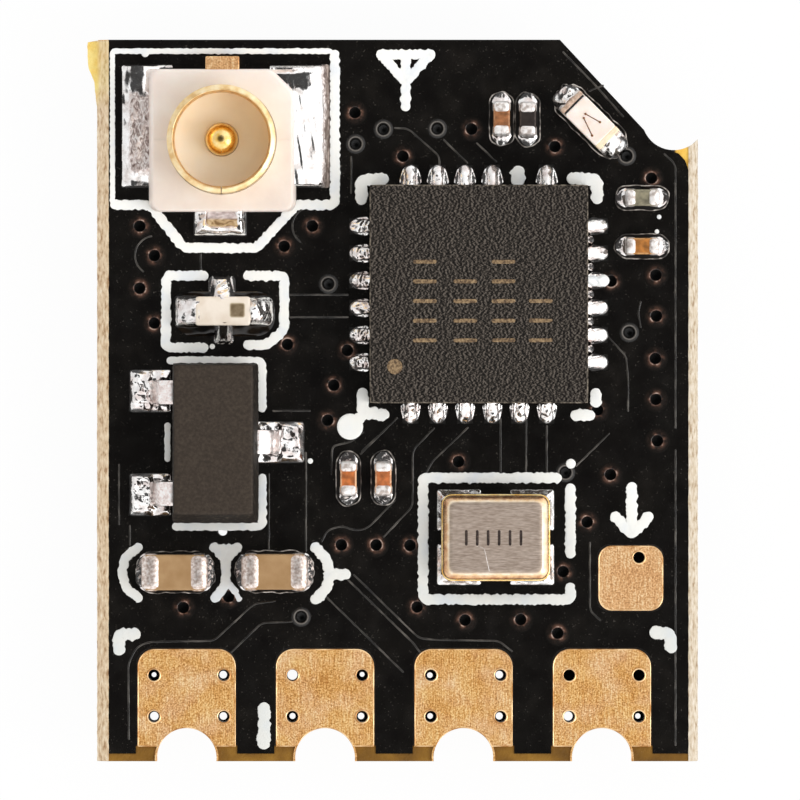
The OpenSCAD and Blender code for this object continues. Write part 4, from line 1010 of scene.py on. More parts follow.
def toe(seed, w=0.31, reach=0.41, climb=0.25, rough=0.02, flare=0.0, tip=0.49):
    """Solder lump at the end of a lead: highest at the chip's wall (y = 0), round across and falling to the
    tip, with a low skirt on both sides that spreads by flare towards the wall."""
    def out_of(y):
        return rising(reach / 2 - y, reach)

    def spread_of(y):
        return 1.12 - 0.35 * out_of(y) ** 1.5 + flare * (1 - out_of(y))

    def height(x, y):
        rounding = np.sqrt(1 - 0.96 * rising(out_of(y) - 0.68, 0.32) ** 2)
        core_w = (0.92 - 0.35 * flare) * w * rounding
        core = np.sqrt(np.clip(1 - (2 * x * spread_of(y) / core_w) ** 2, 0, 1))
        skirt = 0.16 * np.clip(5 * (1 - (2 * x / w) ** 2), 0, 1)
        fall = np.maximum(core, skirt) * np.sqrt(np.clip(1 - out_of(y) ** 2, 0, 1))
        return 0.01 + fall * (climb * (1 - 0.45 * out_of(y)) + rough * ripple(x, y, 0.14, seed))

    points, faces = mound(w, reach, w * tip, height, 14, 52)
    x, y, z = points.T
    return np.stack([x * spread_of(y), y - reach / 2, z], -1), faces


def chip_toes(at, w, count, skip, seed, rough, flare=(0, 0, 0, 0)):
    """Toes along the four sides of a square chip, counter-clockwise from its lower left, each with its place
    and turn. How rough and flared they are goes by side."""
    parts = []
    for n in range(4 * count):
        side, i = divmod(n, count)
        if n == skip:
            continue
        a = np.radians(side * 90)
        u, v = (i - (count - 1) / 2) * lead_pitch, -w / 2 + 0.03
        middle = (at[0] + u * np.cos(a) - v * np.sin(a), at[1] + u * np.sin(a) + v * np.cos(a))
        parts.append((toe(seed + n, rough=rough[side], flare=flare[side]), middle, side * 90))
    return parts


bare_place = 13
stub_x, stub_count = chip_at[0] + chip_w / 2 - 0.02, 5
toe_rough, toe_flare = (0.025, 0.006, 0.02, 0.045), (0.25, 0.0, 0.42, 0.15)
toes = [placed(*t) for t in chip_toes(chip_at, chip_w, lead_count, bare_place, 300, toe_rough, toe_flare)]
stubs = [
    placed(toe(340 + i, 0.17, 0.14, 0.3, 0.03), (stub_x, chip_at[1] + (i - 2) * lead_pitch), 90)
    for i in range(stub_count)
]
add_piece("transceiver_joints", toes + stubs, bright, ["transceiver_solder"])
dab = placed(toe(350, 0.28, 0.42, 0.265, 0.03), (stub_x, chip_at[1] + lead_pitch / 2), 90)
add_piece("ink_dab", [dab], ink)

etched, tree, shader = new_finish("laser_etched", (126, 104, 78), 0.8, shine=0.15)
tint(tree, shader, patches(tree, 0.04, [(0.35, (84, 68, 54)), (0.5, (126, 104, 78)), (0.7, (160, 136, 104))]))
mark_h = 0.004
dash_w, dash_half, dash_pitch = 0.075, 0.18, 0.36
dash_columns = [(0.5, 1.1, 2.9), (1.24, 1.1, 2.5), (1.94, 1.1, 2.7), (2.62, 1.1, 1.95)]
marks = []
for x, low, high in dash_columns:
    for y in np.arange(low, high, dash_pitch):
        ends = [(x - dash_half, y), (x + dash_half, y)]
        marks.append(drawn_line(ends, dash_w, mark_h, 0.2, int(100 * (x + y)), step=0.1))
dot = [(0.14, -0.003), (0.14, 0.002), (0.13, mark_h), (0.06, mark_h), (0.05, 0.001), (0.003, 0.001)]
marks.append(turned(dot, (-0.05, 0.62)))
add_piece("transceiver_marks", [shifted(m, 0, 0, chip_top) for m in marks], etched)

# Oscillator: a ceramic tray with a gilt seal ring and a stamped metal lid welded on it. The lid's rim slopes
# up from the ring to a brushed top, and solder shows at the four corners. The slope is painted pale as a
# highlight on the right, and painted darker brown as shade on the left, at the back and in front.
can_at, can_l, can_w, can_r, can_points = (1.8, -2.51), 2.0, 1.6, 0.2, 140
can_foot = box_of("oscillator_seal_ring")[0][2] - board_top
can_top = box_of("oscillator_lid")[1][2] - board_top
tray, tree, shader = new_finish("tray_ceramic", (30, 26, 24), 0.6)
tint(tree, shader, patches(tree, 0.06, [(0.35, (18, 16, 15)), (0.65, (44, 38, 35))]))
paint(tray, "oscillator_base", "crystal_base")

seal, tree, shader = new_finish("seal_gold", (246, 210, 140), 0.2, 1.0)
tint(tree, shader, patches(tree, 0.2, [(0.35, (230, 182, 104)), (0.6, (252, 224, 164))]))
roughen(tree, shader, grain(tree, 0.05), 0.004)
seal_ring = placed(eased_block(can_l, can_w, can_r, can_foot, can_foot + 0.085, 0.03, can_points), can_at)
add_piece("oscillator_seal", [seal_ring], seal, ["oscillator_seal_ring"])

lid_metal, tree, shader = new_finish("brushed_lid", (184, 166, 152), 0.45, 1.0)
scratch = grain(tree, 0.022, (6, 1, 1), 4.0)
brushed = shade_by(tree, scratch, [(0.3, (172, 153, 139)), (0.5, (197, 178, 163)), (0.72, (221, 205, 192))])
# Painted light: slope is the pale colour of the lid's rim slope, a painted highlight; the brown below is
# painted shade on the left, at the back and in front.
slope = patches(tree, 0.15, [(0.35, (236, 206, 164)), (0.65, (250, 236, 212))])
lid_slope_painted_shade = patches(tree, 0.12, [(0.35, (190, 132, 92)), (0.65, (240, 198, 150))], detail=3.0)
tint(tree, shader, three_tones(tree, brushed, slope, lid_slope_painted_shade))
tree.links.new(span(tree, tone_of(tree), 0.0, 1.0, 0.46, 0.27), shader.inputs["Roughness"])
roughen(tree, shader, scratch, 0.0015)
lid_profile = [
    (0.2, can_foot + 0.06), (0.036, can_foot + 0.08), (0.04, can_top - 0.11), (0.046, can_top - 0.095),
    (0.056, can_top - 0.08), (0.1, can_top - 0.04), (0.13, can_top - 0.014), (0.145, can_top - 0.005),
    (0.16, can_top), (0.22, can_top), (0.4, can_top),
]
lid_tone = [1, 1, 1, 1, 1, 0.9, 0.6, 0.3, 0.1, 0, 0]
cover = moulded(can_l, can_w, can_r, lid_profile, can_points, 0.65)
cover_x, cover_y = cover[0][:, :2].T
shaded_left_and_back = np.clip(np.maximum(-cover_x - can_l / 2, cover_y - can_w / 2) / 0.1 + 2, 0, 1)
shaded_front = 0.9 * np.clip((-cover_y - can_w / 2) / 0.1 + 2, 0, 1)
cover_painted_light = by_ring(cover, lid_tone) * (1 + np.maximum(shaded_left_and_back, shaded_front))
add_piece(
    "oscillator_cover", [placed(cover, can_at)], lid_metal, ["oscillator_lid"],
    tone=[cover_painted_light],
)


def corner_pool(seed, sx, sy):
    """Pool of solder under a corner of the can, falling away on the two sides that sx and sy point to."""
    def height(x, y):
        fall = rising(np.maximum(sx * x - 0.27, sy * y - 0.24), 0.14)
        return 0.02 + slab(x, y, 0.82, 0.76) * (0.13 - 0.085 * fall + 0.014 * ripple(x, y, 0.2, seed))
    return mound(0.82, 0.76, 0.06, height, 22, 96)


def can_pools(seed, at):
    """Pools under the four corners of a can whose middle is at a plan point, each with its place."""
    pools = []
    for i, (sx, sy) in enumerate(((-1, -1), (-1, 1), (1, -1), (1, 1))):
        corner = (at[0] + sx * (can_l / 2 - 0.33), at[1] + sy * (can_w / 2 - 0.3))
        pools.append((corner_pool(seed + i, sx, sy), corner))
    return pools


add_piece(
    "oscillator_joints", [placed(*p) for p in can_pools(60, can_at)], bright, ["oscillator_solder"],
)
burnt, tree, shader = new_finish("burnt_mark", (74, 60, 54), 0.6, shine=0.2)
tint(tree, shader, patches(tree, 0.05, [(0.35, (38, 30, 27)), (0.65, (72, 60, 54))]))
bar_pitch, bar_y = 0.2, (-2.63, -2.4)
bars = []
for x in can_at[0] - 0.04 + bar_pitch * np.arange(-2.5, 3):
    bars.append(drawn_line([(x, y) for y in bar_y], 0.055, 0.003, 0.1, int(200 + 10 * x)))
add_piece("oscillator_bars", [shifted(bar, 0, 0, can_top) for bar in bars], burnt)
frosted_tin, tree, shader = new_finish("frosted_tin", (236, 230, 226), 0.58, 1.0)
frosts = [(0.36, (196, 184, 176)), (0.5, (244, 238, 234)), (0.64, (255, 253, 251))]
tint(tree, shader, patches(tree, 0.09, frosts, detail=3.0))
roughen(tree, shader, grain(tree, 0.07, detail=3.0), 0.012)
scored = drawn_line([(1.45, -2.67), (1.585, -2.69), (1.68, -3.12)], 0.01, 0.0015, 0.3, 210)
add_piece("oscillator_scratch", [shifted(scored, 0, 0, can_top)], frosted_tin)

# Regulator: a small moulded body with drafted sides, parted at the height of its three gull-wing leads, its
# upper half slipped a little in the mould. The leads are stamped from tinned strip and soldered to lands.
reg_at, reg_w, reg_l = (-3.335, -0.78), 1.58, 2.93
reg_low, reg_mid, reg_top = 0.12, 0.62, 1.12
smooth_mould, tree, shader = new_finish("smooth_moulding", (60, 51, 43), 0.6, shine=0.2)
face = patches(tree, 0.05, [(0.32, (48, 40, 33)), (0.5, (56, 47, 39)), (0.7, (65, 56, 47))], detail=4.0)
# Painted shade: the drafted sides take darker greys than the top face.
resin_flank_and_painted_shade = patches(tree, 0.07, [(0.34, (20, 16, 13)), (0.55, (33, 28, 23)), (0.72, (70, 62, 54))], detail=4.0)
tint(tree, shader, blend(tree, tone_of(tree), face, resin_flank_and_painted_shade))
roughen(tree, shader, grain(tree, 0.03), 0.004)
reg_profile = [
    (0.14, reg_low), (0.1, reg_low + 0.01), (0.085, reg_low + 0.05), (0.012, reg_mid - 0.02),
    (0.0, reg_mid - 0.012), (0.0, reg_mid + 0.012), (0.012, reg_mid + 0.02), (0.085, reg_top - 0.06),
    (0.095, reg_top - 0.025), (0.11, reg_top - 0.006), (0.13, reg_top), (0.18, reg_top),
]
flank_painted_shade = [1, 1, 1, 1, 1, 1, 1, 1, 0.7, 0.1, 0, 0]
half_slip, half_widening = np.array([-0.035, 0.065]), np.array([1.05, 1.0])
points, faces = moulded(reg_w, reg_l, 0.05, reg_profile, 128)
upper = rising(points[:, 2:] - reg_mid, reg_top - reg_mid)
flash = 0.008 * (points[:, 2:] < reg_mid + 0.03) * ripple(points[:, 0], points[:, 1], 0.13, 230)[:, None]
points[:, :2] = points[:, :2] * (1 + flash + upper * (half_widening - 1)) + upper * half_slip
body = placed((points, faces), reg_at)
add_piece(
    "regulator_mould", [body], smooth_mould, ["regulator_body"],
    tone=[by_ring(body, flank_painted_shade)],
)


def gull(w, t):
    """Lead: a flat strip of width w and thickness t carried along a bent path in x and z."""
    bend = np.array([
        (-0.12, reg_mid), (0.0, reg_mid), (0.1, reg_mid - 0.04), (0.18, reg_mid - 0.1),
        (0.23, reg_mid - 0.18), (0.29, 0.2), (0.33, 0.12), (0.39, 0.095), (0.6, 0.09),
    ])
    path = even_steps(bend, np.linspace(0, leg_lengths(bend).cumsum()[-1], 40))
    up = left_of(np.gradient(path, axis=0))
    rim = rounded_outline(w, t, 0.03, 24)
    x = path[:, :1] + up[:, :1] * rim[None, :, 1]
    y = np.broadcast_to(rim[None, :, 0], x.shape)
    z = path[:, 1:] + up[:, 1:] * rim[None, :, 1]
    return np.stack([x, y, z], -1).reshape(-1, 3), ring_faces(*x.shape)


matt_tin, tree, shader = new_finish("matt_tin", (246, 232, 227), 0.34, 1.0)
scuffed = grain(tree, 0.07, detail=4.0, twist=1.0)
scuffs = [(0.36, (224, 209, 204)), (0.5, (249, 238, 234)), (0.62, (255, 253, 251))]
tint(tree, shader, shade_by(tree, scuffed, scuffs))
roughen(tree, shader, scuffed, 0.004)
lead = gull(0.44, 0.12)
lead_places = [(reg_w / 2, 0.02, 0), (-reg_w / 2, 0.93, 180), (-reg_w / 2, -0.93, 180)]
leads = [placed(lead, (reg_at[0] + x, reg_at[1] + y), turn) for x, y, turn in lead_places]
add_piece("regulator_gull_leads", leads, matt_tin, ["regulator_leads"])


def lead_pool(w, l, toe_x, seed):
    """Solder on a land: a rim that thins to the land's edge, and a level pile that covers the lead's foot
    from its heel to its toe at toe_x and falls away on both sides."""
    outward = np.sign(toe_x)

    def height(x, y):
        past_heel = rising(outward * (x - toe_x) + 0.25 + 0.03 * ripple(y, 0 * y, 0.2, seed + 2), 0.06)
        pile = 0.11 * past_heel * np.clip(1.6 - 2.6 * np.abs(y) / l, 0, 1)
        waves = 0.035 * ripple(x, y, 0.25, seed) + 0.008 * ripple(x, y, 0.1, seed + 1)
        return 0.015 + slab(x, y, w, l) * (0.09 + pile + waves)
    return mound(w, l, 0.08, height, 22, 110)


pool_places = [
    (lead_pool(0.93, 0.77, 0.24, 71), 1.165, 0.015),
    (lead_pool(0.78, 0.79, -0.2, 73), -1.2, 0.955),
    (lead_pool(0.78, 0.79, -0.2, 75), -1.2, -0.945),
]
pools = [placed(pool, (reg_at[0] + x, reg_at[1] + y)) for pool, x, y in pool_places]
add_piece("regulator_joints", pools, bright, ["regulator_solder"])

# Filter: a little cream ceramic block in the antenna line, with a dark square that marks its first end.
# It is soldered at both ends and in the middle of each long side, and sits in glassy residue of flux.
filter_at, filter_l, filter_w, filter_h = (-3.2, 1.64), 1.3, 0.56, 0.45


def by_filter(part, x, y, turn=0):
    """Part placed by a step in plan from the middle of the filter."""
    return placed(part, (filter_at[0] + x, filter_at[1] + y), turn)


cream, tree, shader = new_finish("cream_ceramic", (236, 224, 200), 0.35)
tint(tree, shader, patches(tree, 0.3, [(0.35, (227, 212, 194)), (0.6, (238, 226, 211))]))
roughen(tree, shader, grain(tree, 0.05), 0.002)
block = eased_block(filter_l - 0.3, filter_w - 0.03, 0.04, 0.045, filter_h + 0.015, 0.03, 80)
add_piece("filter_block", [by_filter(block, 0, 0)], cream, ["filter_body"])
dark_mark, tree, shader = new_finish("dark_glaze", (112, 98, 78), 0.4)
soaked = combine(tree, "MULTIPLY", tone_of(tree), span(tree, grain(tree, 0.1), 0.3, 0.6, 0.8, 1.0))
glazes = [(0.0, (234, 221, 202)), (0.5, (168, 150, 122)), (1.0, (104, 86, 60))]
tint(tree, shader, shade_by(tree, soaked, glazes))
glaze = filter_h + 0.0165
mark_profile = [
    (0.02, glaze - 0.01), (0.0, glaze - 0.002), (0.012, glaze), (0.03, glaze), (0.05, glaze + 0.001),
    (0.1, glaze + 0.001),
]
mark_tone = [0, 0, 0.1, 0.6, 1, 1]
mark = by_filter(moulded(0.31, 0.3, 0.06, mark_profile, 48), 0.265, 0.015)
add_piece("filter_mark", [mark], dark_mark, tone=[by_ring(mark, mark_tone)])


def end_heap(w, l, climb, seed):
    """Solder wrapped over an end: a full round heap that leans towards the block at negative x."""
    def height(x, y):
        dome = np.sqrt(np.clip(1 - (2 * y / l) ** 2, 0, 1)) * np.sqrt(np.clip(1 - (2 * x / w) ** 2, 0, 1))
        return 0.01 + dome * climb * (1 - 0.8 * x / w) + 0.035 * dome * ripple(x, y, 0.17, seed)
    return mound(w, l, min(w, l) * 0.35, height, 12, 60)


def wedge_heap(w, l, low, high, rough, seed, narrowing=0.0, tilt=0.0):
    """Solder drawn up a wall at positive x in one flat face: it slopes from high at the wall down to low,
    rolls off there and on both sides, narrows towards its tip, falls by tilt past a diagonal and ripples by
    rough."""
    def height(x, y):
        half = l / 2 * (1 - narrowing * (0.5 - x / w))
        drop = np.sqrt(rising(half - np.abs(y), 0.1) * rising(x + w / 2, 0.06))
        past_fold = np.clip(y / l - 1.3 * x / w - 0.3, 0, None)
        slope = low + (high - low) * (0.5 + x / w)
        return 0.01 + drop * (slope - tilt * past_fold + rough * ripple(x, y, 0.17, seed))
    return mound(w, l, 0.09, height, 22, 110)


wraps = [
    by_filter(end_heap(0.56, 0.58, 0.46, 81), 0.66, 0),
    by_filter(wedge_heap(0.42, 0.5, 0.24, 0.45, 0.03, 83, 0.34), -0.02, 0.43, -90),
    by_filter(wedge_heap(0.4, 0.36, 0.03, 0.46, 0.03, 84, 0.1), 0.01, -0.41, 90),
]
add_piece("filter_joints", wraps, bright, ["filter_solder", "filter_terminals"])
left_wrap = by_filter(wedge_heap(0.46, 0.6, 0.31, 0.46, 0.014, 82, tilt=0.25), -0.66, -0.01)
add_piece("filter_left_joint", [left_wrap], bright)
flux, tree, shader = new_finish("flux_glass", (20, 15, 11), 0.07)
tint(tree, shader, patches(tree, 0.2, [(0.35, (12, 9, 7)), (0.65, (34, 25, 17))]))
roughen(tree, shader, grain(tree, 0.15), 0.002)
flux_w, flux_l = 1.84, 0.82


def flux_skin(x, y):
    """Glassy residue: a level skin that rolls off at its rim and dips a little here and there."""
    return 0.004 + 0.04 * slab(x, y, flux_w, flux_l) + 0.006 * ripple(x, y, 0.25, 86)


spill = by_filter(mound(flux_w, flux_l, 0.34, flux_skin, 24, 160), 0.03, -0.05)
add_piece("filter_flux", [spill], flux)


# Chip parts: ceramic blocks with plated ends, two supply capacitors and six small ones on the upper side.
# Solder runs up their ends and the mask stands back from them in a rounded dark gap with a bright rim: a
# bead whose pale grey patches are a painted highlight.
def chip_ends(l, w, h, band):
    """Two plated caps of a chip part: blocks with round corners whose tops swell in a quarter ellipse."""
    a = np.linspace(0, np.pi / 2, 9)
    swell = np.stack([0.46 * band * (1 - np.cos(a)), h - 0.06 + 0.105 * np.sin(a)], -1)
    profile = np.vstack([[(0.2 * band, 0.025), (0.02, 0.04)], swell])
    cap = moulded(band + 0.02, w + 0.02, 0.4 * band, profile, 72)
    return [shifted(cap, side * (l - band) / 2, 0, 0) for side in (-1, 1)]


def chip_pools(l, w, land, climb, seed, power=3, fullness=1):
    """Solder at both ends of a chip part: half-oval pools that curve up to the end faces by a power of the
    way in, round across, or level across for a larger fullness."""
    reach = (land - l) / 2 + 0.12

    def height(x, y):
        across = np.sqrt(np.clip(fullness * (1 - (2 * y / w) ** 2), 0, 1))
        out = np.clip(0.5 + x / reach, 0, 1)
        return 0.012 + across * (0.03 + climb * (1 - out) ** power + 0.004 * ripple(x, y, 0.1, seed))

    pool = mound(reach, w, min(reach, w) * 0.45, height, 10, 48)
    pool[0][:, 0] -= 0.4 * (pool[0][:, 0] + reach / 2) * (2 * pool[0][:, 1] / w) ** 2
    middle = land / 2 - reach / 2
    return [placed(pool, (middle, 0), 0, 0), placed(pool, (-middle, 0), 180, 0)]


def halo_line(l, w, seed):
    """Rim of the mask opening round a chip part: a stadium outline thrown out of true by ripple."""
    path = rounded_outline(l, w, w * 0.46, 96)
    return bead(path * (1 + 0.05 * ripple(path[:, 0], path[:, 1], 0.25, seed))[:, None], 0.002, 0.011)


def turned_parts(parts, place):
    """Parts of a chip turned and moved to its place (x, y, turn)."""
    return [placed(p, place[:2], place[2]) for p in parts]


supply_l, supply_w, supply_h, supply_band, supply_land = 1.2, 0.68, 0.62, 0.34, 1.43
supply_places = {"input_capacitor": (-4.08, -3.15, 0), "output_capacitor": (-2.25, -3.14, 0)}
tan, tree, shader = new_finish("tan_ceramic", (172, 138, 98), 0.4, shine=0.3)
tint(tree, shader, patches(tree, 0.25, [(0.3, (156, 122, 82)), (0.5, (163, 129, 90)), (0.7, (171, 138, 98))]))
roughen(tree, shader, grain(tree, 0.04), 0.004)
satin_tin, tree, shader = new_finish("satin_tin", (226, 216, 210), 0.34, 1.0)
satins = [(0.34, (180, 160, 149)), (0.5, (218, 203, 194)), (0.66, (244, 237, 232))]
tint(tree, shader, patches(tree, 0.05, satins, detail=5.0))
dull_by(tree, shader, grain(tree, 0.08), 0.38, 0.5)
roughen(tree, shader, grain(tree, 0.06, detail=4.0), 0.004)
supply_block = eased_block(supply_l - 0.1, supply_w - 0.03, 0.03, 0.045, supply_h + 0.015, 0.03, 72)
supply_ends = chip_ends(supply_l, supply_w, supply_h, supply_band)
pools, rims = [], []
for i, (name, place) in enumerate(supply_places.items()):
    add_piece(name + "_block", turned_parts([supply_block], place), tan, [name])
    add_piece(name + "_caps", turned_parts(supply_ends, place), satin_tin, [name + "_ends"])
    pools += turned_parts(chip_pools(supply_l, supply_w, supply_land, 0.3, 500 + i, 7, 3), place)
    rims += turned_parts([halo_line(supply_land + 0.02, supply_w + 0.08, 580 + i)], place)
add_piece("supply_capacitor_joints", pools, bright, ["supply_capacitor_solder"])

small_l, small_w, small_h, small_band, small_land = 0.62, 0.31, 0.3, 0.205, 0.98
small_chips = {
    # The second colour of each chip is its painted edge highlight.
    "small_capacitor_1": ((1.91, 5.17, 90), "capacitor_brown", (150, 98, 62), (186, 136, 98)),
    "small_resistor": ((2.39, 5.16, 90), "resistor_black", (44, 36, 32), (74, 64, 58)),
    "small_capacitor_2": ((4.49, 3.72, 0), "capacitor_grey", (124, 118, 98), (150, 144, 122)),
    "small_capacitor_3": ((4.49, 2.83, 0), "capacitor_brown", (166, 107, 50), (206, 158, 104)),
    "small_capacitor_4": ((-0.9, -1.43, 90), "capacitor_orange", (180, 103, 54), (244, 200, 160)),
    "small_capacitor_5": ((-0.26, -1.43, 90), "capacitor_orange", (176, 102, 58), (244, 200, 160)),
}
small_block = eased_block(small_l - 0.08, small_w - 0.01, 0.02, 0.04, small_h + 0.02, 0.03, 56)
# Painted highlight: the upper edge rings of the small blocks take a paler colour, peaking halfway round the
# bevel.
small_edge_highlight = by_ring(small_block, [0, 0, 0, 0, 0, 0, 0.3, 0.8, 1, 0.8, 0.2, 0])
small_ends = chip_ends(small_l, small_w, small_h, small_band)
ceramics, caps, pools = {}, [], []
for i, (name, (place, slot, colour, edge_highlight_colour)) in enumerate(small_chips.items()):
    ceramics[name], tree, shader = new_finish(name + "_ceramic", colour, 0.42, shine=0.3)
    light, dark = [min(255, int(c * 1.18)) for c in colour], [int(c * 0.8) for c in colour]
    mottled = patches(tree, 0.12, [(0.32, dark), (0.5, colour), (0.7, light)])
    painted_edge_highlight = patches(tree, 0.05, [(0.35, colour), (0.5, edge_highlight_colour)])
    tint(tree, shader, blend(tree, tone_of(tree), mottled, painted_edge_highlight))
    roughen(tree, shader, grain(tree, 0.03), 0.003)
    block = turned_parts([small_block], place)
    add_piece(name + "_block", block, ceramics[name], [name], tone=[small_edge_highlight])
    caps += turned_parts(small_ends, place)
    bend = (7, 3) if slot == "capacitor_orange" else (3, 1)
    pools += turned_parts(chip_pools(small_l, small_w + 0.05, small_land, 0.2, 520 + i, *bend), place)
    rims += turned_parts([halo_line(small_land, small_w + 0.14, 590 + i)], place)
add_piece("small_chip_caps", caps, frosted_tin, ["small_chip_ends"])
add_piece("small_chip_joints", pools, bright, ["small_chip_solder"])
# Painted highlight: the opening rims are coloured light grey in patches, over the black mask edge.
rim_painted_highlight, tree, shader = new_finish("opening_rim_painted_highlight", (150, 142, 134), 0.3)
rim_painted_highlight_greys = [(0.38, (40, 36, 33)), (0.5, (112, 105, 98)), (0.63, (196, 188, 180))]
tint(tree, shader, patches(tree, 0.15, rim_painted_highlight_greys))
add_piece("mask_opening_highlight_rims", rims, rim_painted_highlight)

# Lamp: a tiny light-emitting chip on a white base, cast in pale clear resin and set at 45 degrees on the
# chamfered corner. Two gold wires join the chip to plated ends, which are soldered to their lands.
lamp_place, lamp_l, lamp_w = (3.54, 5.12, -45), 1.06, 0.52
lamp_face, lamp_top = (corner[2] - board_top for corner in box_of("lamp_lens"))
resin_base, tree, shader = new_finish("lamp_base_white", (240, 230, 218), 0.5)
dull_by(tree, shader, grain(tree, 0.08), 0.4, 0.6)
paint(resin_base, "lamp_base")
lens, tree, shader = new_finish("pale_resin", (250, 234, 222), 0.25, shine=0.3)
clear = patches(tree, 0.25, [(0.35, (240, 222, 209)), (0.65, (247, 236, 228))])
yellowed = patches(tree, 0.1, [(0.35, (238, 218, 186)), (0.65, (248, 233, 204))], detail=3.0)
browned = patches(tree, 0.06, [(0.36, (168, 142, 124)), (0.64, (216, 190, 170))], detail=4.0)
tint(tree, shader, three_tones(tree, clear, yellowed, browned))
shader.inputs["Subsurface Weight"].default_value = 0.3
shader.inputs["Subsurface Radius"].default_value = (0.0003, 0.0002, 0.00015)
roughen(tree, shader, grain(tree, 0.1), 0.003)
lens_runs = [(-0.41, 0.385, 0.0, 0.0), (-0.54, -0.445, 0.01, 2.0), (0.37, 0.49, 0.025, 1.0)]
blocks, lens_tone = [], []
for start, stop, lower, tone in lens_runs:
    block = eased_block(stop - start, lamp_w, 0.03, lamp_face, lamp_top - lower, 0.025, 72)
    blocks.append(shifted(block, (start + stop) / 2, 0, 0))
    lens_tone.append(np.full(len(block[0]), tone))
blocks = turned_parts(blocks, lamp_place)
add_piece("lamp_resin_lens", blocks, lens, ["lamp_lens"], tone=lens_tone)
saw_cut = eased_block(0.035, lamp_w - 0.03, 0.01, lamp_face, lamp_top - 0.02, 0.006, 32, 2)
saw_cut = turned_parts([shifted(saw_cut, -0.427, 0, 0)], lamp_place)
add_piece("lamp_saw_cut", saw_cut, tray)
die_finish, tree, shader = new_finish("light_chip", (222, 170, 100), 0.35)
dull_by(tree, shader, grain(tree, 0.03), 0.2, 0.5)
paint(die_finish, "lamp_die")
wire_gold, tree, shader = new_finish("wire_gold", (120, 74, 40), 0.35, 0.6)
dull_by(tree, shader, grain(tree, 0.03), 0.25, 0.5)
wire_ends = [((-0.159, 0.025), (0.134, 0.106)), ((-0.128, -0.052), (0.208, -0.17))]
knob = [(0.022, -0.003), (0.022, 0.006), (0.014, 0.014), (0.002, 0.016)]
wires = []
for ends in wire_ends:
    wires += [drawn_line(ends, 0.018, 0.01)] + [turned(knob, end, 12) for end in ends]
wires = [shifted(wire, 0, 0, lamp_top - board_top) for wire in wires]
add_piece("lamp_bond_wires", turned_parts(wires, lamp_place), wire_gold, ["lamp_wires"])
caps = chip_ends(lamp_l + 0.1, lamp_w - 0.02, lamp_face, 0.12)
add_piece("lamp_caps", turned_parts(caps, lamp_place), frosted_tin, ["lamp_terminals"])
heaps = [
    placed(toe(540, 0.5, 0.36, 0.34, 0.03, 0.05, 0.3), (0.47, 0), 90, 0),
    placed(toe(541, 0.52, 0.32, 0.32, 0.08, 0.05, 0.3), (-0.5, 0), -90, 0),
]
add_piece("lamp_joints", turned_parts(heaps, lamp_place), bright, ["lamp_solder"])
add_piece("lamp_opening_highlight_rim", turned_parts([halo_line(1.62, 0.64, 599)], lamp_place), rim_painted_highlight)

# Underside: a larger leadless chip that the module rests on, a crystal and four small chip parts, all
# soldered as on the upper side. The plugged ends of the vias and the tracks between them stand up under
# the mask.
under = box_of("bottom_mask")[0][2]


def hung(part, at, turn=0.0):
    """Part turned half over about the x axis and hung from the underside at a plan point."""
    points, faces = part
    return placed((points * [1, -1, -1], faces), at, turn, under)


control_low, control_high = box_of("controller_body")
control_at = (control_low[:2] + control_high[:2]) / 2
control_w, control_h = control_high[0] - control_low[0], under - control_low[2]
body = hung(eased_block(control_w, control_w, 0.03, 0.03, control_h, 0.02, 128), control_at)
add_piece("controller_mould", [body], mould, ["controller_body"])
toes = []
for part, middle, turn in chip_toes((0, 0), control_w, 8, -1, 700, (0.02, 0.02, 0.02, 0.02)):
    toes.append(hung(placed(part, middle, turn, 0), control_at))
add_piece("controller_joints", toes, bright, ["controller_solder"])

crystal_low, crystal_high = box_of("crystal_base")
crystal_at = (crystal_low[:2] + crystal_high[:2]) / 2
crystal_drop, crystal_top = under - crystal_low[2], under - box_of("crystal_lid")[0][2]
crystal_profile = [
    (0.2, crystal_drop - 0.02), (0.05, crystal_drop), (0.055, crystal_drop + 0.06),
    (0.095, crystal_top - 0.07), (0.13, crystal_top - 0.02), (0.16, crystal_top - 0.004),
    (0.185, crystal_top), (0.3, crystal_top),
]
# The crystal's slope rings take the pale slope colour all round: a painted highlight.
crystal_tone = [1, 1, 1, 1, 0.8, 0.4, 0, 0]
cover = hung(moulded(can_l, can_w, can_r, crystal_profile, can_points), crystal_at)
add_piece(
    "crystal_cover", [cover], lid_metal, ["crystal_lid"],
    tone=[by_ring(cover, crystal_tone)],
)
pools = [hung(placed(pool, corner, 0, 0), crystal_at) for pool, corner in can_pools(90, (0, 0))]
add_piece("crystal_joints", pools, bright, ["crystal_solder"])

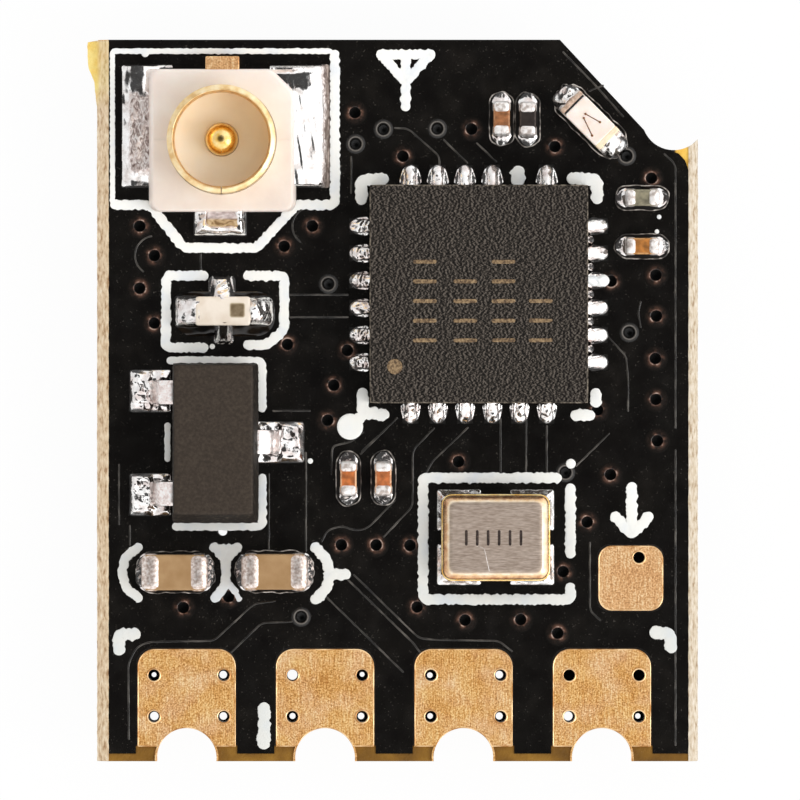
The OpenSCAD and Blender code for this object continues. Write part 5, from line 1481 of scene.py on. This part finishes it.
bottom_places = {
    "bottom_capacitor_1": (-3.6, -1.2), "bottom_capacitor_2": (-4.4, -1.2), "bottom_capacitor_3": (4.0, 1.6),
    "bottom_resistor": (4.0, -0.4),
}
bottom_block = eased_block(small_l - 0.08, small_w - 0.02, 0.02, 0.04, small_h + 0.02, 0.02, 56)
caps, pools = [], []
for i, (name, at) in enumerate(bottom_places.items()):
    twin = "small_resistor" if "resistor" in name else "small_capacitor_3"
    add_piece(name + "_block", [hung(bottom_block, at, 90)], ceramics[twin], [name])
    caps += [hung(p, at, 90) for p in small_ends]
    pools += [hung(p, at, 90) for p in chip_pools(small_l, small_w + 0.06, small_land, 0.2, 560 + i)]
add_piece("bottom_chip_caps", caps, frosted_tin, ["bottom_chip_ends"])
add_piece("bottom_chip_joints", pools, bright, ["bottom_chip_solder"])


def hung_flat(part):
    """Part drawn on the upper side with its y turned round, hung from the underside at the same place."""
    return hung(shifted(part, 0, 0, -board_top), (0, 0))


vias = np.array(halo_vias + plugged_vias)
free = np.ones(len(vias), bool)
for low, high in ((control_low, control_high), (crystal_low, crystal_high)):
    free &= ((vias < low[:2] - 0.5) | (vias > high[:2] + 0.5)).any(1)
for at in bottom_places.values():
    free &= (np.abs(vias - at) > (0.4, 0.8)).any(1)
plugs = [hung_flat(turned(plug, (x, -y))) for x, y in vias[free]]
add_piece("bottom_via_plugs", plugs, rim_grey, tone=[by_ring(p, plug_tone) for p in plugs])
bottom_tracks = [
    [(-1.55, -2.85), (-1.55, -3.2), (-3.3, -4.1), (-3.3, -4.5)],
    [(-0.55, -2.85), (-0.55, -3.4), (-1.2, -4.05), (-1.2, -4.5)],
    [(0.95, -2.85), (0.95, -4.0), (1.3, -4.35), (1.3, -4.5)],
    [(1.95, -2.85), (1.95, -3.0), (3.3, -4.2), (3.3, -4.5)],
    [(-2.75, 0.35), (-3.2, 0.35), (-3.6, -0.05), (-3.6, -0.6)],
    [(-2.75, -0.15), (-3.9, -0.15), (-4.4, -0.5), (-4.4, -0.65)],
    [(3.15, 1.35), (3.5, 1.35), (3.75, 1.1)], [(3.15, -0.65), (3.5, -0.65), (3.75, -0.9)],
    [(3.15, 0.35), (4.3, 0.35), (4.73, 0.77)], [(-1.05, 3.05), (-1.05, 3.9), (-0.36, 4.8)],
    [(-0.05, 3.05), (-0.05, 3.6), (0.73, 4.4), (0.73, 4.8)], [(1.45, 3.05), (1.45, 4.2), (1.36, 4.8)],
    [(1.95, 3.05), (2.89, 4.0), (2.89, 4.46)],
]
ridges = []
for i, track in enumerate(bottom_tracks):
    line = drawn_line([(x, -y) for x, y in track], track_w, track_h, track_wander, 80 + i)
    ridges.append(hung_flat(line))
add_piece("bottom_track_ridges", ridges, ridge)
